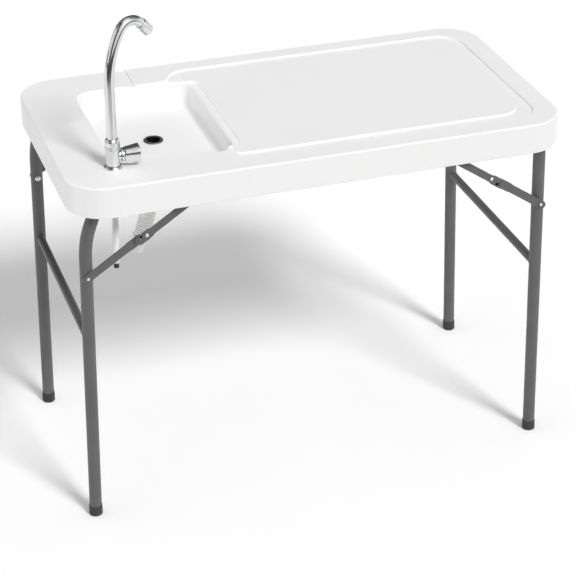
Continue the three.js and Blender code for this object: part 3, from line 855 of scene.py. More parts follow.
def build_top():
    parts = []
    steps = (-2.0, -1.45, -0.95, -0.45, 0.0, 0.45, 0.95, 1.45, 2.0)
    # upper surface
    boundary = OUT_P - OUT_N * EDGE
    drain_hole = circle(*DRAIN, 17.8, 40)
    faucet_hole = circle(*FAUCET, 10.8, 28)
    loops = [boundary, drain_hole, faucet_hole]
    loops += [offset_loop(WORK, d) for d in steps]
    loops += [offset_loop(PLATEAU, d) for d in steps]
    loops += [sink_family(d) for d in SINK_D]
    lines = [[(x, 180.0), (x, HY - EDGE)] for x in (-353, -341, -329, -317, -312.5, -310.6, -309.3, -308.0)]
    V, F = triangulate(loops, lines, boundary, [drain_hole, faucet_hole])
    z = top_z(V)
    onb = np.zeros(len(V), bool)
    parts.append((np.column_stack([V, z]), [tuple(f) for f in F]))

    # rim rounding, skirt, lower lip and ribbed inner wall, as rings of stations
    rings = []

    def ring(inset, z, cut=False):
        ins = inset if np.ndim(inset) else np.full(len(OUT_P), float(inset))
        q = OUT_P - OUT_N * ins[:, None]
        zz = np.full(len(q), float(z))
        if cut:
            zz = np.minimum(zz, RIM - notch(q[:, 0], np.where(OUT_N[:, 1] > 0.9, 200.0, 0.0)))
        rings.append(np.column_stack([q, zz]))

    # first ring repeats the boundary with the surface's own height
    q = OUT_P - OUT_N * EDGE
    rings.append(np.column_stack([q, top_z(q)]))
    for k in range(1, 9):
        a = math.pi / 2 * k / 8
        ring(EDGE * (1 - math.sin(a)), RIM - EDGE * (1 - math.cos(a)), cut=k < 5)
    for z in (840, 822, 806):
        ring(0, z)
    for k in range(0, 6):
        a = math.pi / 2 * k / 5
        ring(2.6 * (1 - math.cos(a)), SKIRT_BOTTOM + 2.6 * (1 - math.sin(a)))
    wall = np.where(OUT_RIB > 0.5, 10.4, 3.9)
    lip = np.where(OUT_RIB > 0.5, 9.2, 3.6)
    ring(lip, SKIRT_BOTTOM)
    ring(lip * 0.35 + wall * 0.65, SKIRT_BOTTOM + 0.5)
    ring(wall, SKIRT_BOTTOM + 1.4)
    ring(wall + 0.4, SKIRT_BOTTOM + 26)
    ring(wall + 0.8, DECK_UNDER - 4.5)
    ring(wall + 1.6, DECK_UNDER - 1.8)
    ring(wall + 3.2, DECK_UNDER - 0.4)
    last_inset = wall + 5.2
    ring(last_inset, DECK_UNDER)
    n = len(OUT_P)
    verts = np.vstack(rings)
    faces = []
    for i in range(len(rings) - 1):
        for k in range(n):
            k2 = (k + 1) % n
            faces.append((i * n + k, (i + 1) * n + k, (i + 1) * n + k2, i * n + k2))
    parts.append((verts, faces))

    # underside with its field of dents and the sink's outer tub
    inner = rings[-1][:, :2]
    tub_profile = [(13.5, 849.5), (10.2, 848.9), (7.4, 846.9), (5.4, 843.6), (4.2, 839), (3.6, 831), (2.7, 823.5), (0.8, 817.5), (-2.6, 812.6), (-7.2, 809.2), (-12.5, 807.5), (-18, 807.0)]
    s = SINK
    zmap = {}
    loops, zs = [list(map(tuple, inner))], [DECK_UNDER]

    def tub_loop(e):
        r = max(s["r"] + e, 16.0)
        return rrect(s["x0"] - e, s["yc"] - s["y"] - e, s["x1"] + e, s["yc"] + s["y"] + e, r, arc=12, step=30)

    for e, z in tub_profile:
        loops.append(tub_loop(e))
        zs.append(z)
    tub_out = np.array(tub_loop(22.0))
    tub_in = np.array(tub_loop(-26.0))
    inner_in = inner

    def dent(cx, cy, w, h, depth, z0):
        draft = min(1.4, depth * 0.45)
        r = min(w, h) * 0.30
        for e, dz in ((0.55, 0.0), (0.12, -0.25 if depth > 0 else 0.25), (-draft + 0.35, depth - 0.35), (-draft - 0.3, depth)):
            loops.append(rrect(cx - w / 2 - e, cy - h / 2 - e, cx + w / 2 + e, cy + h / 2 + e, max(0.6, min(r + e, min(w, h) / 2 + e - 0.15)), arc=3, step=60))
            zs.append(z0 + (dz if dz > 0 else 0.0))

    pitch = 38.0
    keep_out = [(x, 285.0, 22.0, 20.0) for x in STAY_X] + [(x, -285.0, 22.0, 20.0) for x in STAY_X]
    keep_out += [(x, y, 34.0, 22.0) for x in (525.3, -508.0) for y in (-224.0, 224.0)]
    keep_out += [(FAUCET[0], FAUCET[1], 30.0, 30.0)]
    for i in range(-15, 16):
        for j in range(-8, 9):
            cx, cy = i * pitch + 8, j * pitch * 0.985
            along = (i + j) % 2 == 0
            w, h = (26.0, 5.4) if along else (6.4, 18.0)
            box = np.array([(cx + a * (w / 2 + 3), cy + b * (h / 2 + 3)) for a in (-1, 0, 1) for b in (-1, 0, 1)])
            if not inside(box, inner_in).all() or inside(box, tub_out).any():
                continue
            if any(abs(cx - kx) < kw + w / 2 and abs(cy - ky) < kh + h / 2 for kx, ky, kw, kh in keep_out):
                continue
            dent(cx, cy, w, h, 4.2, DECK_UNDER)
    sp = 29.0
    for i in range(-5, 6):
        for j in range(-7, 8):
            cx, cy = -320 + i * sp, 4 + j * sp
            along = (i + j) % 2 == 0
            w, h = (18.0, 4.6) if along else (5.0, 13.0)
            box = np.array([(cx + a * (w / 2 + 2), cy + b * (h / 2 + 2)) for a in (-1, 0, 1) for b in (-1, 0, 1)])
            if not inside(box, tub_in).all():
                continue
            if math.hypot(cx + 320, cy - 4) < 40:
                continue
            dent(cx, cy, w, h, 1.9, 807.0)
    loops.append(drain_hole)
    zs.append(807.0)
    loops.append(faucet_hole)
    zs.append(DECK_UNDER)
    V, F = triangulate(loops, [], inner, [drain_hole, faucet_hole])
    key = {}
    for L, z in zip(loops, zs):
        for p in L:
            key[(round(float(p[0]), 2), round(float(p[1]), 2))] = z
    z = np.array([key.get((round(float(p[0]), 2), round(float(p[1]), 2)), np.nan) for p in V])
    if np.isnan(z).any():
        # a rounding difference between the input and the triangulation: take the nearest input point
        P = np.array([p for L in loops for p in L], float)
        Z = np.array([zz for L, zz in zip(loops, zs) for _ in L])
        for i in np.where(np.isnan(z))[0]:
            z[i] = Z[((P - V[i]) ** 2).sum(1).argmin()]
    parts.append((np.column_stack([V, z]), [tuple(f[::-1]) for f in F]))

    # bores of the drain and faucet holes
    for hole, z0, z1 in ((drain_hole, 807.0, SINK_FLOOR), (faucet_hole, DECK_UNDER, RIM)):
        H = np.array(hole)
        nh = len(H)
        hv = np.vstack([np.column_stack([H, np.full(nh, z0)]), np.column_stack([H, np.full(nh, z1)])])
        hf = [(k, k + nh, (k + 1) % nh + nh, (k + 1) % nh) for k in range(nh)]
        parts.append((hv, hf))
    return join(*parts)


top_v, top_f = build_top()
top = piece("worktop_shell", top_v, top_f, "table", "top_plastic", ["tabletop"], sharp=50, recalc=False)

# ------------------------------------------------------------------ free hoses
# drain hose: the same route as its solid, corrugated
DRAIN_ROUTE = [(x, DRAIN[1], z) for x, z in ((-320, 798), (-320.3, 780), (-322, 740), (-330, 680), (-342.4, 620), (-349.2, 595.5), (-356.5, 572.6))]
drain_line = catmull(DRAIN_ROUTE, 12)
fine, drain_len = resample(drain_line, 0.8)
s_fine = np.linspace(0, drain_len, len(fine))
PITCH = 6.4
wave = 0.5 + 0.5 * np.cos(2 * math.pi * s_fine / PITCH)
flat = np.clip((s_fine - 4) / 4, 0, 1) * np.clip((drain_len - 5 - s_fine) / 4, 0, 1)
hose_r = 19.0 - 2.3 * flat * (1 - np.power(wave, 0.6))
hv, hf = tube(fine, hose_r, seg=44, inner=hose_r - 1.4)
drain_hose = piece("drain_hose_corrugated", hv, hf, "table", "hose_white", ["drain_hose"], sharp=80, weighted=False)

cuff_dir = np.array([-15.0, 0, -36.5])
cuff_dir /= np.linalg.norm(cuff_dir)
cuff_o = np.array([-357.0, DRAIN[1], 571.0])
prof = fillet([(16.2, 0.4), (21.9, 0.4), (21.9, 8), (18.6, 10.4), (14.2, 35), (14.0, 40.1), (11.6, 40.1), (11.6, 35), (15.6, 10), (16.2, 7), (16.2, 0.4)], [0, 1.2, 1.2, 1.0, 1.5, 0.8, 0.8, 1, 1, 0, 0], 3)
cv, cf = lathe(prof[:-1], cuff_o, cuff_dir, 48, closed=True)
cuff = piece("drain_cuff_tapered", cv, cf, "table", "hose_white", ["drain_hose_cuff"], sharp=45)

SUPPLY_ROUTE = [(FAUCET[0], FAUCET[1], 796.5), (FAUCET[0], FAUCET[1], 782), (-464.9, FAUCET[1], 740), (-466.8, FAUCET[1], 690), (-467.8, FAUCET[1], 650), (-467.8, FAUCET[1], 629.4)]
sup_line, sup_len = resample(catmull(SUPPLY_ROUTE, 12), 3.0)
sv, sf = tube(sup_line, 7.3, seg=36, edge=0.5)
supply = piece("supply_tube", sv, sf, "table", "hose_white", ["supply_hose"], sharp=50)
prof = fillet([(0, 616.8), (5.2, 616.8), (5.9, 618), (5.9, 620.4), (5.2, 621), (5.2, 622.6), (5.9, 623.2), (5.9, 625.4), (5.3, 626), (5.3, 627), (5.9, 627.6), (5.9, 629), (0, 629)], 0.25, 2)
kv, kf = lathe(prof, (-467.8, FAUCET[1], 0), (0, 0, 1), 40)
connector = piece("hose_connector_tip", kv, kf, "table", "cap_rubber", ["hose_connector"], sharp=40)

# ------------------------------------------------------------------ drain fitting
prof = fillet([(13.2, 798.7), (16.6, 798.7), (16.6, 811.35), (23, 811.35), (23, 812.4), (21.4, 813.5), (16.2, 813.5), (13.2, 810.8), (13.2, 798.7)], [0, 0.3, 0.2, 0.3, 0.5, 0.8, 0.8, 1.0, 0], 3)
v, f = lathe(prof[:-1], (*DRAIN, 0), (0, 0, 1), 56, closed=True)
# painted shade: the bore and its inner bevel (rc < 15.6) get the near-black rubber so the drain hole reads dark
rc = np.array([np.hypot(v[list(q)][:, 0] - DRAIN[0], v[list(q)][:, 1] - DRAIN[1]).mean() for q in f])
piece("drain_ring", v, f, "table", "drain_metal", ["drain_flange"], sharp=40, mats=["drain_metal", "seal_rubber"], face_mat=np.where(rc < 15.6, 1, 0))


def lobed(r, h, a):
    """eight grip lobes on the drain nut"""
    return r - (0.9 * (1 - abs(math.cos(4 * a))) if r > 20 else 0)


prof = fillet([(17.4, 799.1), (25.8, 799.1), (25.8, 804.5), (24.2, 806.5), (17.4, 806.5), (17.4, 799.1)], [0, 0.6, 0.8, 0.8, 0.4, 0], 3)
v, f = lathe(prof[:-1], (*DRAIN, 0), (0, 0, 1), 96, closed=True, radius=lobed)
piece("drain_nut", v, f, "table", "fitting_white", ["drain_lock_nut"], sharp=40)

# ------------------------------------------------------------------ faucet
FX, FY = FAUCET
fo = (FX, FY, 0)
prof = fillet([(11.2, 863.35), (20.4, 863.35), (20.4, 865.0), (19.2, 866.6), (16.9, 869.1), (11.2, 869.1), (11.2, 863.35)], [0, 0.4, 0.8, 2.0, 0.8, 0.2, 0], 4)
v, f = lathe(prof[:-1], fo, (0, 0, 1), 64, closed=True)
piece("faucet_flange_ring", v, f, "table", "chrome", ["faucet_flange"], sharp=42)

prof = fillet([(0, 797.1), (9.4, 797.1), (9.9, 798), (9.9, 869.6), (15.3, 869.6), (15.5, 871), (15.5, 907.6), (15.0, 908.9), (0, 908.9)], [0, 0.2, 0, 0, 0.6, 0.6, 0.8, 0.6, 0], 3)
# thread on the shank
thread = []
z = 798.0
while z < 846.0:
    thread += [(9.9, z), (9.3, z + 0.45), (9.3, z + 0.75), (9.9, z + 1.2)]
    z += 1.5
prof = [(0, 797.1), (9.4, 797.1)] + thread + [(9.9, 848.0), (9.9, 869.6)] + prof[[i for i, p in enumerate(prof) if p[0] > 14][0]:]
core = lathe(prof, fo, (0, 0, 1), 56)
boss_prof = fillet([(0, -3), (11.4, -3), (11.4, 16.4), (10.8, 16.95), (0, 16.95)], [0, 0.2, 0.5, 0.4, 0], 3)
boss = lathe(boss_prof, (FX, FY, 890), (1, 0, 0), 44)
v, f = join(core, boss)
piece("faucet_body_cast", v, f, "table", "chrome", ["faucet_body"], sharp=42)

prof = fillet([(11.5, 909.35), (16.1, 909.35), (16.45, 910.2), (16.45, 913), (15.7, 913.8), (15.7, 914.6), (16.45, 915.4), (16.45, 925.5), (15.2, 928.4), (12.6, 931.9), (11.5, 931.9), (11.5, 909.35)], [0, 0.3, 0.5, 0.4, 0.3, 0.3, 0.4, 1.4, 1.6, 0.7, 0.2, 0], 3)
v, f = lathe(prof[:-1], fo, (0, 0, 1), 64, closed=True)
piece("spout_collar", v, f, "table", "chrome", ["spout_nut"], sharp=42)

AZ = math.radians(20)
ZS = 1054.0
BENDS = ((222.0, math.radians(31), 20), (33.0, math.radians(107), 48))


def spout_pt(d, z):
    return np.array([FX + d * math.cos(AZ), FY + d * math.sin(AZ), z])


line = [spout_pt(0, z) for z in np.linspace(909.7, ZS, 20)]
bd, bz, ba = 0.0, ZS, 0.0
for radius, sweep, steps in BENDS:
    for k in range(1, steps + 1):
        a = ba + sweep * k / steps
        line.append(spout_pt(bd + radius * (math.cos(ba) - math.cos(a)), bz + radius * (math.sin(a) - math.sin(ba))))
    bd, bz, ba = bd + radius * (math.cos(ba) - math.cos(ba + sweep)), bz + radius * (math.sin(ba + sweep) - math.sin(ba)), ba + sweep
v, f = tube(np.array(line), 10.95, seg=44, inner=9.5)
piece("spout_tube", v, f, "spout", "chrome", ["spout"], sharp=50, weighted=False)
end = line[-1]
edir = np.array([math.sin(ba) * math.cos(AZ), math.sin(ba) * math.sin(AZ), math.cos(ba)])
prof = fillet([(8.7, 0.35), (11.9, 0.35), (12.7, 1.6), (12.8, 5.0), (12.3, 5.6), (12.3, 6.3), (12.9, 6.9), (12.9, 27.8), (12.0, 29.9), (10.2, 29.9), (10.0, 26), (0, 26), (0, 24), (8.7, 23.6), (8.7, 0.35)], [0, 0.3, 0.7, 0.3, 0.2, 0.2, 0.3, 0.9, 0.5, 0.4, 0.3, 0, 0, 0.3, 0], 3)
v, f = lathe(prof[:-1], end, edir, 56, closed=True)
piece("aerator_head", v, f, "spout", "chrome", ["aerator"], sharp=42)

prof = fillet([(0, 0.05), (14.4, 0.05), (15.3, 1.2), (15.3, 4.9), (14.6, 6.1), (0, 6.1)], [0, 0.3, 0.6, 0.6, 0.4, 0], 3)
v, f = lathe(prof, (FX + 17.35, FY, 890), (1, 0, 0), 56)
piece("bonnet_ring", v, f, "table", "chrome", ["handle_bonnet"], sharp=42)


def squared(r, h, a):
    """four broad flats with rounded corners"""
    c, q = abs(math.cos(a)), abs(math.sin(a))
    return r * (c ** 2.9 + q ** 2.9) ** (-1 / 2.9)


prof = fillet([(0, 0.1), (13.9, 0.1), (14.8, 0.9), (15.4, 3.0), (16.6, 14), (18.4, 26), (19.2, 31.5), (19.0, 33.4), (17.6, 34.4), (14.6, 33.6), (0, 33.2)], [0, 0.3, 0.5, 1.5, 6, 6, 2.0, 0.6, 0.8, 1.5, 0], 4)
v, f = lathe(prof, (FX + 23.95, FY, 890), (1, 0, 0), 96, radius=squared)
piece("faucet_lever", v, f, "handle", "chrome", ["faucet_handle"], sharp=42)

prof = fillet([(10.5, 846.3), (18.9, 846.3), (18.9, 849.1), (10.5, 849.1), (10.5, 846.3)], [0, 0.6, 0.6, 0.3, 0], 3)
v, f = lathe(prof[:-1], fo, (0, 0, 1), 48, closed=True)
piece("faucet_gasket", v, f, "table", "seal_rubber", ["faucet_washer"], sharp=42)

hexa = [(FX + 19.3 * math.cos(math.radians(60 * k)), FY + 19.3 * math.sin(math.radians(60 * k))) for k in range(6)]
hexa = fillet(hexa, 1.2, 3, closed=True)
v, f = plate(hexa, [circle(FX, FY, 10.6, 32)], 836.1, 845.8, bevel=0.8)
piece("faucet_hex_nut", v, f, "table", "brass", ["faucet_lock_nut"], sharp=35)

# ------------------------------------------------------------------ leg frames
PIVOT_Z = 832.0
RIGHT = dict(px=525.3, fx=552.7, slope=(525.3 - 552.7) / 832.0, bx=531.59, bz=641.0, dx=250.0, dz=832.0, bk=128.03, kd=212.226)
LEFT = dict(px=-508.0, fx=-559.0, slope=0.0176, bx=-547.771, bz=638.0, dx=-309.0, dz=795.65, bk=140.895, kd=145.226)


def leg_line(e, y):
    if e == "right":
        d = np.array([RIGHT["px"] - RIGHT["fx"], 0, PIVOT_Z])
        d /= np.linalg.norm(d)
        a = np.array([RIGHT["fx"] + RIGHT["slope"] * 3.9, y, 3.9])
        b = np.array([RIGHT["px"], y, PIVOT_Z]) - d * 11.5
        return np.array([a + (b - a) * t for t in np.linspace(0, 1, 24)])
    line = lambda z: LEFT["fx"] + LEFT["slope"] * z
    low = [(line(z), y, z) for z in np.linspace(3.7, 640, 18)]
    bend = [(660, 0), (685, 0), (708, 1.4), (731, 5), (755, 11.5), (778, 20), (800, 27.6), (820.4, 33.3)]
    up = catmull([(line(z) + o, y, z) for z, o in bend], 6)
    return np.vstack([np.array(low), up])


def place_xz(ox, oz, angle, y_in, side):
    """Plates lie in the X-Z plane: local x along the link, local y up, local z outwards from the centre plane."""
    c, s = math.cos(angle), math.sin(angle)

    def go(V):
        x = ox + V[:, 0] * c - V[:, 1] * s
        z = oz + V[:, 0] * s + V[:, 1] * c
        y = side * (y_in + V[:, 2])
        return np.column_stack([x, y, z])

    return go


def rivet(x, z, side, shank, heads, seg=36):
    """A rivet across a plate: profile given from the centre plane outwards."""
    return lathe(heads, (x, 0, z), (0, side, 0), seg)


for e, S in (("right", RIGHT), ("left", LEFT)):
    body = e + "_frame"
    # pivot bar under the top, a hollow tube
    ys = np.linspace(-269, 269, 30)
    v, f = tube(np.array([(S["px"], y, PIVOT_Z) for y in ys]), 10.95, seg=36, inner=9.4)
    piece(f"{e}_pivot_bar_tube", v, f, body, "frame_steel", [f"{e}_pivot_bar"], sharp=50)
    cx = S["fx"] + S["slope"] * 475
    ys = np.linspace(-240.6, 240.6, 26)
    bar = tube(np.array([(cx, y, 475.0) for y in ys]), 10.0, seg=36)
    welds = []
    for sg in (-1, 1):
        # weld bead round the bar's end
        R, r0 = 10.3, 1.9
        ring, faces = [], []
        for a in range(40):
            q = 2 * math.pi * a / 40
            lump = r0 * (1 + 0.13 * math.sin(7 * q) + 0.08 * math.sin(13 * q + 1))
            for b in range(8):
                w = 2 * math.pi * b / 8
                rad = R + lump * math.cos(w)
                # the bead follows the leg's round wall
                wall = 255 - math.sqrt(max(0.0, 14.0 ** 2 - min((R * math.cos(q)) ** 2, 100)))
                ring.append((cx + rad * math.cos(q), sg * (wall - 0.2 + lump * math.sin(w) * 0.8), 475 + rad * math.sin(q)))
                a2, b2 = (a + 1) % 40, (b + 1) % 8
                faces.append((a * 8 + b, a2 * 8 + b, a2 * 8 + b2, a * 8 + b2))
        welds.append((np.array(ring), faces))
    v, f = join(bar, *welds)
    piece(f"{e}_crossbar_tube", v, f, body, "frame_steel", [f"{e}_crossbar"], sharp=50)
    u = np.array([(S["dx"] - S["bx"]), (S["dz"] - S["bz"])]) / (S["bk"] + S["kd"])
    kx, kz = S["bx"] + u[0] * S["bk"], S["bz"] + u[1] * S["bk"]
    ang = math.atan2(u[1], u[0])
    for where, sd in (("front", -1), ("rear", 1)):
        tag = f"{e}_{where}"
        y = sd * 255.0
        v, f = tube(leg_line(e, y), 14.4, seg=48, inner=12.4)
        piece(f"{tag}_leg_tube", v, f, body, "frame_steel", [f"{tag}_leg"], sharp=50, weighted=False)

        # foot cap: ribbed collar, flat sole, leaned with the leg
        prof = fillet([(0, 0), (14.2, 0), (15.7, 1.6), (15.7, 5), (15.2, 5.6), (15.2, 6.4), (15.7, 7), (15.7, 24.6), (15.2, 25.9), (14.6, 25.9), (14.6, 3.1), (0, 3.1)], [0, 0.6, 0.8, 0.3, 0.2, 0.2, 0.3, 0.6, 0.3, 0.2, 0.3, 0], 3)
        v, f = lathe(prof, (0, 0, 0), (0, 0, 1), 48)
        v[:, 0] += S["slope"] * v[:, 2] + S["fx"]
        v[:, 1] += y
        piece(f"{tag}_foot", v, f, body, "cap_rubber", [f"{tag}_foot_cap"], sharp=40)

        # strap hinge round the pivot bar
        top_z_ = DECK_UNDER - 0.3 - PIVOT_Z
        o = [(26, top_z_), (-26, top_z_), (-26, top_z_ - 3), (-14.4, top_z_ - 3), (-14.4, 0)]
        o += [(14.4 * math.cos(math.radians(a)), 14.4 * math.sin(math.radians(a))) for a in range(190, 360, 10)]
        o += [(14.4, 0), (14.4, top_z_ - 3), (26, top_z_ - 3)]
        strap = plate(o, [circle(0, 0, 11.5, 36)], -12, 12, bevel=0.6, place=lambda V, sx=S["px"], yy=sd * 224.0: np.column_stack([sx + V[:, 0], yy + V[:, 2], PIVOT_Z + V[:, 1]]))
        parts = [strap]
        for sx in (-20.5, 20.5):
            for sy in (-6, 6):
                hp = fillet([(0, -3.0), (3.4, -3.0), (3.4, -3.5), (2.4, -5.2), (0, -5.6)], [0, 0.1, 0.3, 0.8, 0], 3)
                parts.append(lathe(hp, (S["px"] + sx, sd * 224 + sy, PIVOT_Z + top_z_), (0, 0, 1), 20))
        v, f = join(*parts)
        piece(f"{tag}_strap_hinge", v, f, "table", "frame_steel", [f"{tag}_pivot_strap"], sharp=35)

        # lower link: pressed flat bar, wider near the knee
        L = S["bk"]
        hw = 9.5
        o = [(-4.5 + hw * math.cos(math.radians(a)), hw * math.sin(math.radians(a))) for a in range(90, 271, 10)]
        o += [(L - 34, -hw), (L - 27, -hw - 1.2), (L, -hw - 1.3)]
        o += [(L + (hw + 1.3) * math.cos(math.radians(a)), (hw + 1.3) * math.sin(math.radians(a))) for a in range(-80, 81, 10)]
        o += [(L, hw + 1.3), (L - 27, hw + 1.2), (L - 34, hw)]
        v, f = plate(o, [circle(0, 0, 4.3, 24)], 0.05, 2.95, bevel=0.55, place=place_xz(S["bx"], S["bz"], ang, 269.6, sd))
        piece(f"{tag}_lower_link", v, f, f"{tag}_stay_lower", "frame_steel", [f"{tag}_stay_lower"], sharp=35)

        # upper link with its rounded lobe, oval slot and lock stud
        K = S["kd"]
        lobe = 11.0
        o = [(lobe * math.cos(math.radians(a)), lobe * math.sin(math.radians(a))) for a in range(90, 271, 10)]
        o += [(10, -lobe), (26, -lobe), (36, -8.6), (K, -8.6)]
        o += [(K + 8.6 * math.cos(math.radians(a)), 8.6 * math.sin(math.radians(a))) for a in range(-80, 81, 10)]
        o += [(K, 8.6), (36, 8.6), (26, lobe), (10, lobe)]
        holes = [circle(0, 0, 3.5, 24), circle(K, 0, 3.5, 24)]
        ex, ez = (11.5, 4.4) if e == "right" else (7.0, 5.8)
        hx, hz, hr = (3.8, 3.6, 1.2) if e == "right" else (3.3, 2.6, 2.2)
        eye = [(ex + x, ez + z) for x, z in fillet([(-hx, -hz), (hx, -hz), (hx, hz), (-hx, hz)], hr, 3, closed=True)]
        holes.append(eye)
        v, f = plate(o, holes, 0.05, 2.95, bevel=0.55, place=place_xz(kx, kz, ang, 276.4, sd))
        stud = lathe(fillet([(0, 276.0), (3.4, 276.0), (3.4, 279.5), (4.3, 279.5), (4.3, 280.4), (2.8, 281.6), (0, 281.8)], [0, 0, 0, 0.1, 0.3, 0.8, 0], 3), (kx + u[0] * (160 - S["bk"]), 0, kz + u[1] * (160 - S["bk"])), (0, sd, 0), 32)
        n0 = len(f)
        v, f = join((v, f), stud)
        n1 = len(f)
        # painted shade: a near-black plug set below the face fills the eye, standing in for the dark of an open hole
        hole_shade_plug = plate([(ex + (x - ex) * 1.02, ez + (z - ez) * 1.02) for x, z in eye], [], 0.4, 1.7, bevel=0.3, place=place_xz(kx, kz, ang, 276.4, sd))
        v, f = join((v, f), hole_shade_plug)
        piece(f"{tag}_upper_link", v, f, f"{tag}_stay_upper", "frame_steel", [f"{tag}_stay_upper"], sharp=35,
              mats=["frame_steel", "zinc", "seal_rubber"], face_mat=[0] * n0 + [1] * (n1 - n0) + [2] * (len(f) - n1))

        # knee rivet with its spacer
        kn = fillet([(0, 273.1), (5.9, 273.1), (5.9, 276.05), (3.1, 276.05), (3.1, 279.75), (5.4, 279.75), (5.4, 280.3), (3.6, 281.4), (0, 281.6)], [0, 0.3, 0.3, 0, 0, 0.1, 0.3, 0.8, 0], 3)
        v, f = rivet(kx, kz, sd, None, kn)
        piece(f"{tag}_knee_pin", v, f, f"{tag}_stay_upper", "frame_steel", [f"{tag}_knee_rivet"], sharp=40)

        # leg rivet: painted collar, bright domed head, bright tail inside the leg
        lr = fillet([(0, 238.3), (3.0, 238.5), (6.2, 239.6), (6.8, 240.6), (3.9, 240.7), (3.9, 272.95), (7.4, 272.95), (7.4, 273.6), (6.6, 274.1), (4.9, 274.2), (4.3, 273.5), (3.6, 273.5), (3.5, 275.0), (2.2, 275.8), (0, 275.9)], [0, 0.6, 0.6, 0.1, 0, 0, 0.1, 0.2, 0.3, 0.2, 0.1, 0.1, 0.4, 0.6, 0], 2)
        v, f = rivet(S["bx"], S["bz"], sd, None, lr)
        ycen = np.array([abs(v[list(q)][:, 1]).mean() for q in f])
        rcen = np.array([np.hypot(v[list(q)][:, 0] - S["bx"], v[list(q)][:, 2] - S["bz"]).mean() for q in f])
        fm = np.where((ycen > 272.9) & (rcen > 3.75), 1, 0)
        piece(f"{tag}_leg_pin", v, f, body, "zinc", [f"{tag}_leg_rivet"], sharp=40, mats=["zinc", "frame_steel"], face_mat=fm)

        br = fillet([(0, 276.45), (3.1, 276.45), (3.1, 283.15), (6.4, 283.15), (6.4, 284), (4.6, 285.3), (0, 285.5)], [0, 0.3, 0, 0.1, 0.3, 0.8, 0], 3)
        v, f = rivet(S["dx"], S["dz"], sd, None, br)
        piece(f"{tag}_bracket_pin", v, f, "table", "zinc", [f"{tag}_bracket_rivet"], sharp=40)

        # stay bracket: lug and foot bent from one sheet, two screws
        tz = DECK_UNDER - 0.3 - S["dz"]
        o = [(14, tz), (-14, tz), (-14, tz * 0.75), (-9.5, 0)]
        o += [(9.5 * math.cos(math.radians(a)), 9.5 * math.sin(math.radians(a))) for a in range(190, 351, 10)]
        o += [(9.5, 0), (14, tz * 0.75)]
        lug = plate(o, [circle(0, 0, 3.5, 24)], 0, 3, bevel=0.5, place=place_xz(S["dx"], S["dz"], 0.0, 279.8, sd))
        fl = plate([(-14, 0.4), (14, 0.4), (14, 9.8), (-14, 9.8)], [], DECK_UNDER - 3.3, DECK_UNDER - 0.35, bevel=0.5, place=lambda V, dx=S["dx"], q=sd: np.column_stack([dx + V[:, 0], q * (280.0 + V[:, 1]), V[:, 2]]))
        parts = [lug, fl]
        for sx in (-8.5, 8.5):
            hp = fillet([(0, -3.2), (2.9, -3.2), (2.9, -3.7), (2.0, -4.9), (0, -5.2)], [0, 0.1, 0.2, 0.6, 0], 3)
            parts.append(lathe(hp, (S["dx"] + sx, sd * 287.0, DECK_UNDER), (0, 0, 1), 18))
        v, f = join(*parts)
        piece(f"{tag}_bracket_plate", v, f, "table", "frame_steel", [f"{tag}_stay_bracket"], sharp=35)

# ------------------------------------------------------------------ floor and light
bpy.ops.mesh.primitive_plane_add(size=30, location=(0, 0, -0.0005))
floor = bpy.context.active_object
floor.name = "floor"
fm_ = Nodes("floor_paper")
fm_.colour(fm_.ramp(fm_.noise(0.8, 2, 0.5), [(0.3, (0.935, 0.935, 0.935)), (0.7, (0.95, 0.95, 0.95))]))
fm_.set(rough=0.9, spec=0.1)
floor.data.materials.append(fm_.mat)


sun = bpy.data.lights.new("key", "SUN")
sun.energy = 2.40
sun.angle = math.radians(15.5)
key = bpy.data.objects.new("key", sun)
key.rotation_euler = Vector((0.245, -0.675, 0.696)).to_track_quat("Z", "Y").to_euler()
scene.collection.objects.link(key)


def card(name, corners, stops):
    """A studio reflector seen only in polished metal: corners along its foot, then back along its top."""
    me = bpy.data.meshes.new(name)
    k = len(corners) // 2
    me.from_pydata(corners, [], [(i, i + 1, 2 * k - 2 - i, 2 * k - 1 - i) for i in range(k - 1)])
    ob = bpy.data.objects.new(name, me)
    scene.collection.objects.link(ob)
    n = Nodes(name)
    z = n.t.nodes.new("ShaderNodeSeparateXYZ")
    tc_ = n.t.nodes.new("ShaderNodeTexCoord")
    n.link(tc_.outputs["Object"], z.inputs[0])
    shade = n.ramp(n.range(z.outputs[2], 0.0, 1.0, 0.0, 4.0), [(p, (g, g, g)) for p, g in stops])
    n.colour((0.02, 0.02, 0.02))
    n.link(shade, n.b.inputs["Emission Color"])
    n.b.inputs["Emission Strength"].default_value = 1.0
    n.set(rough=1.0, spec=0.0)
    me.materials.append(n.mat)
    ob.visible_camera = False
    ob.visible_diffuse = False
    ob.visible_shadow = False
    ob.visible_transmission = False
    ob.visible_volume_scatter = False
    return ob


def ring_of(radius, a0, a1, n, z):
    return [(FX * MM + radius * math.cos(math.radians(a0 + (a1 - a0) * k / n)), FY * MM + radius * math.sin(math.radians(a0 + (a1 - a0) * k / n)), z) for k in range(n + 1)]


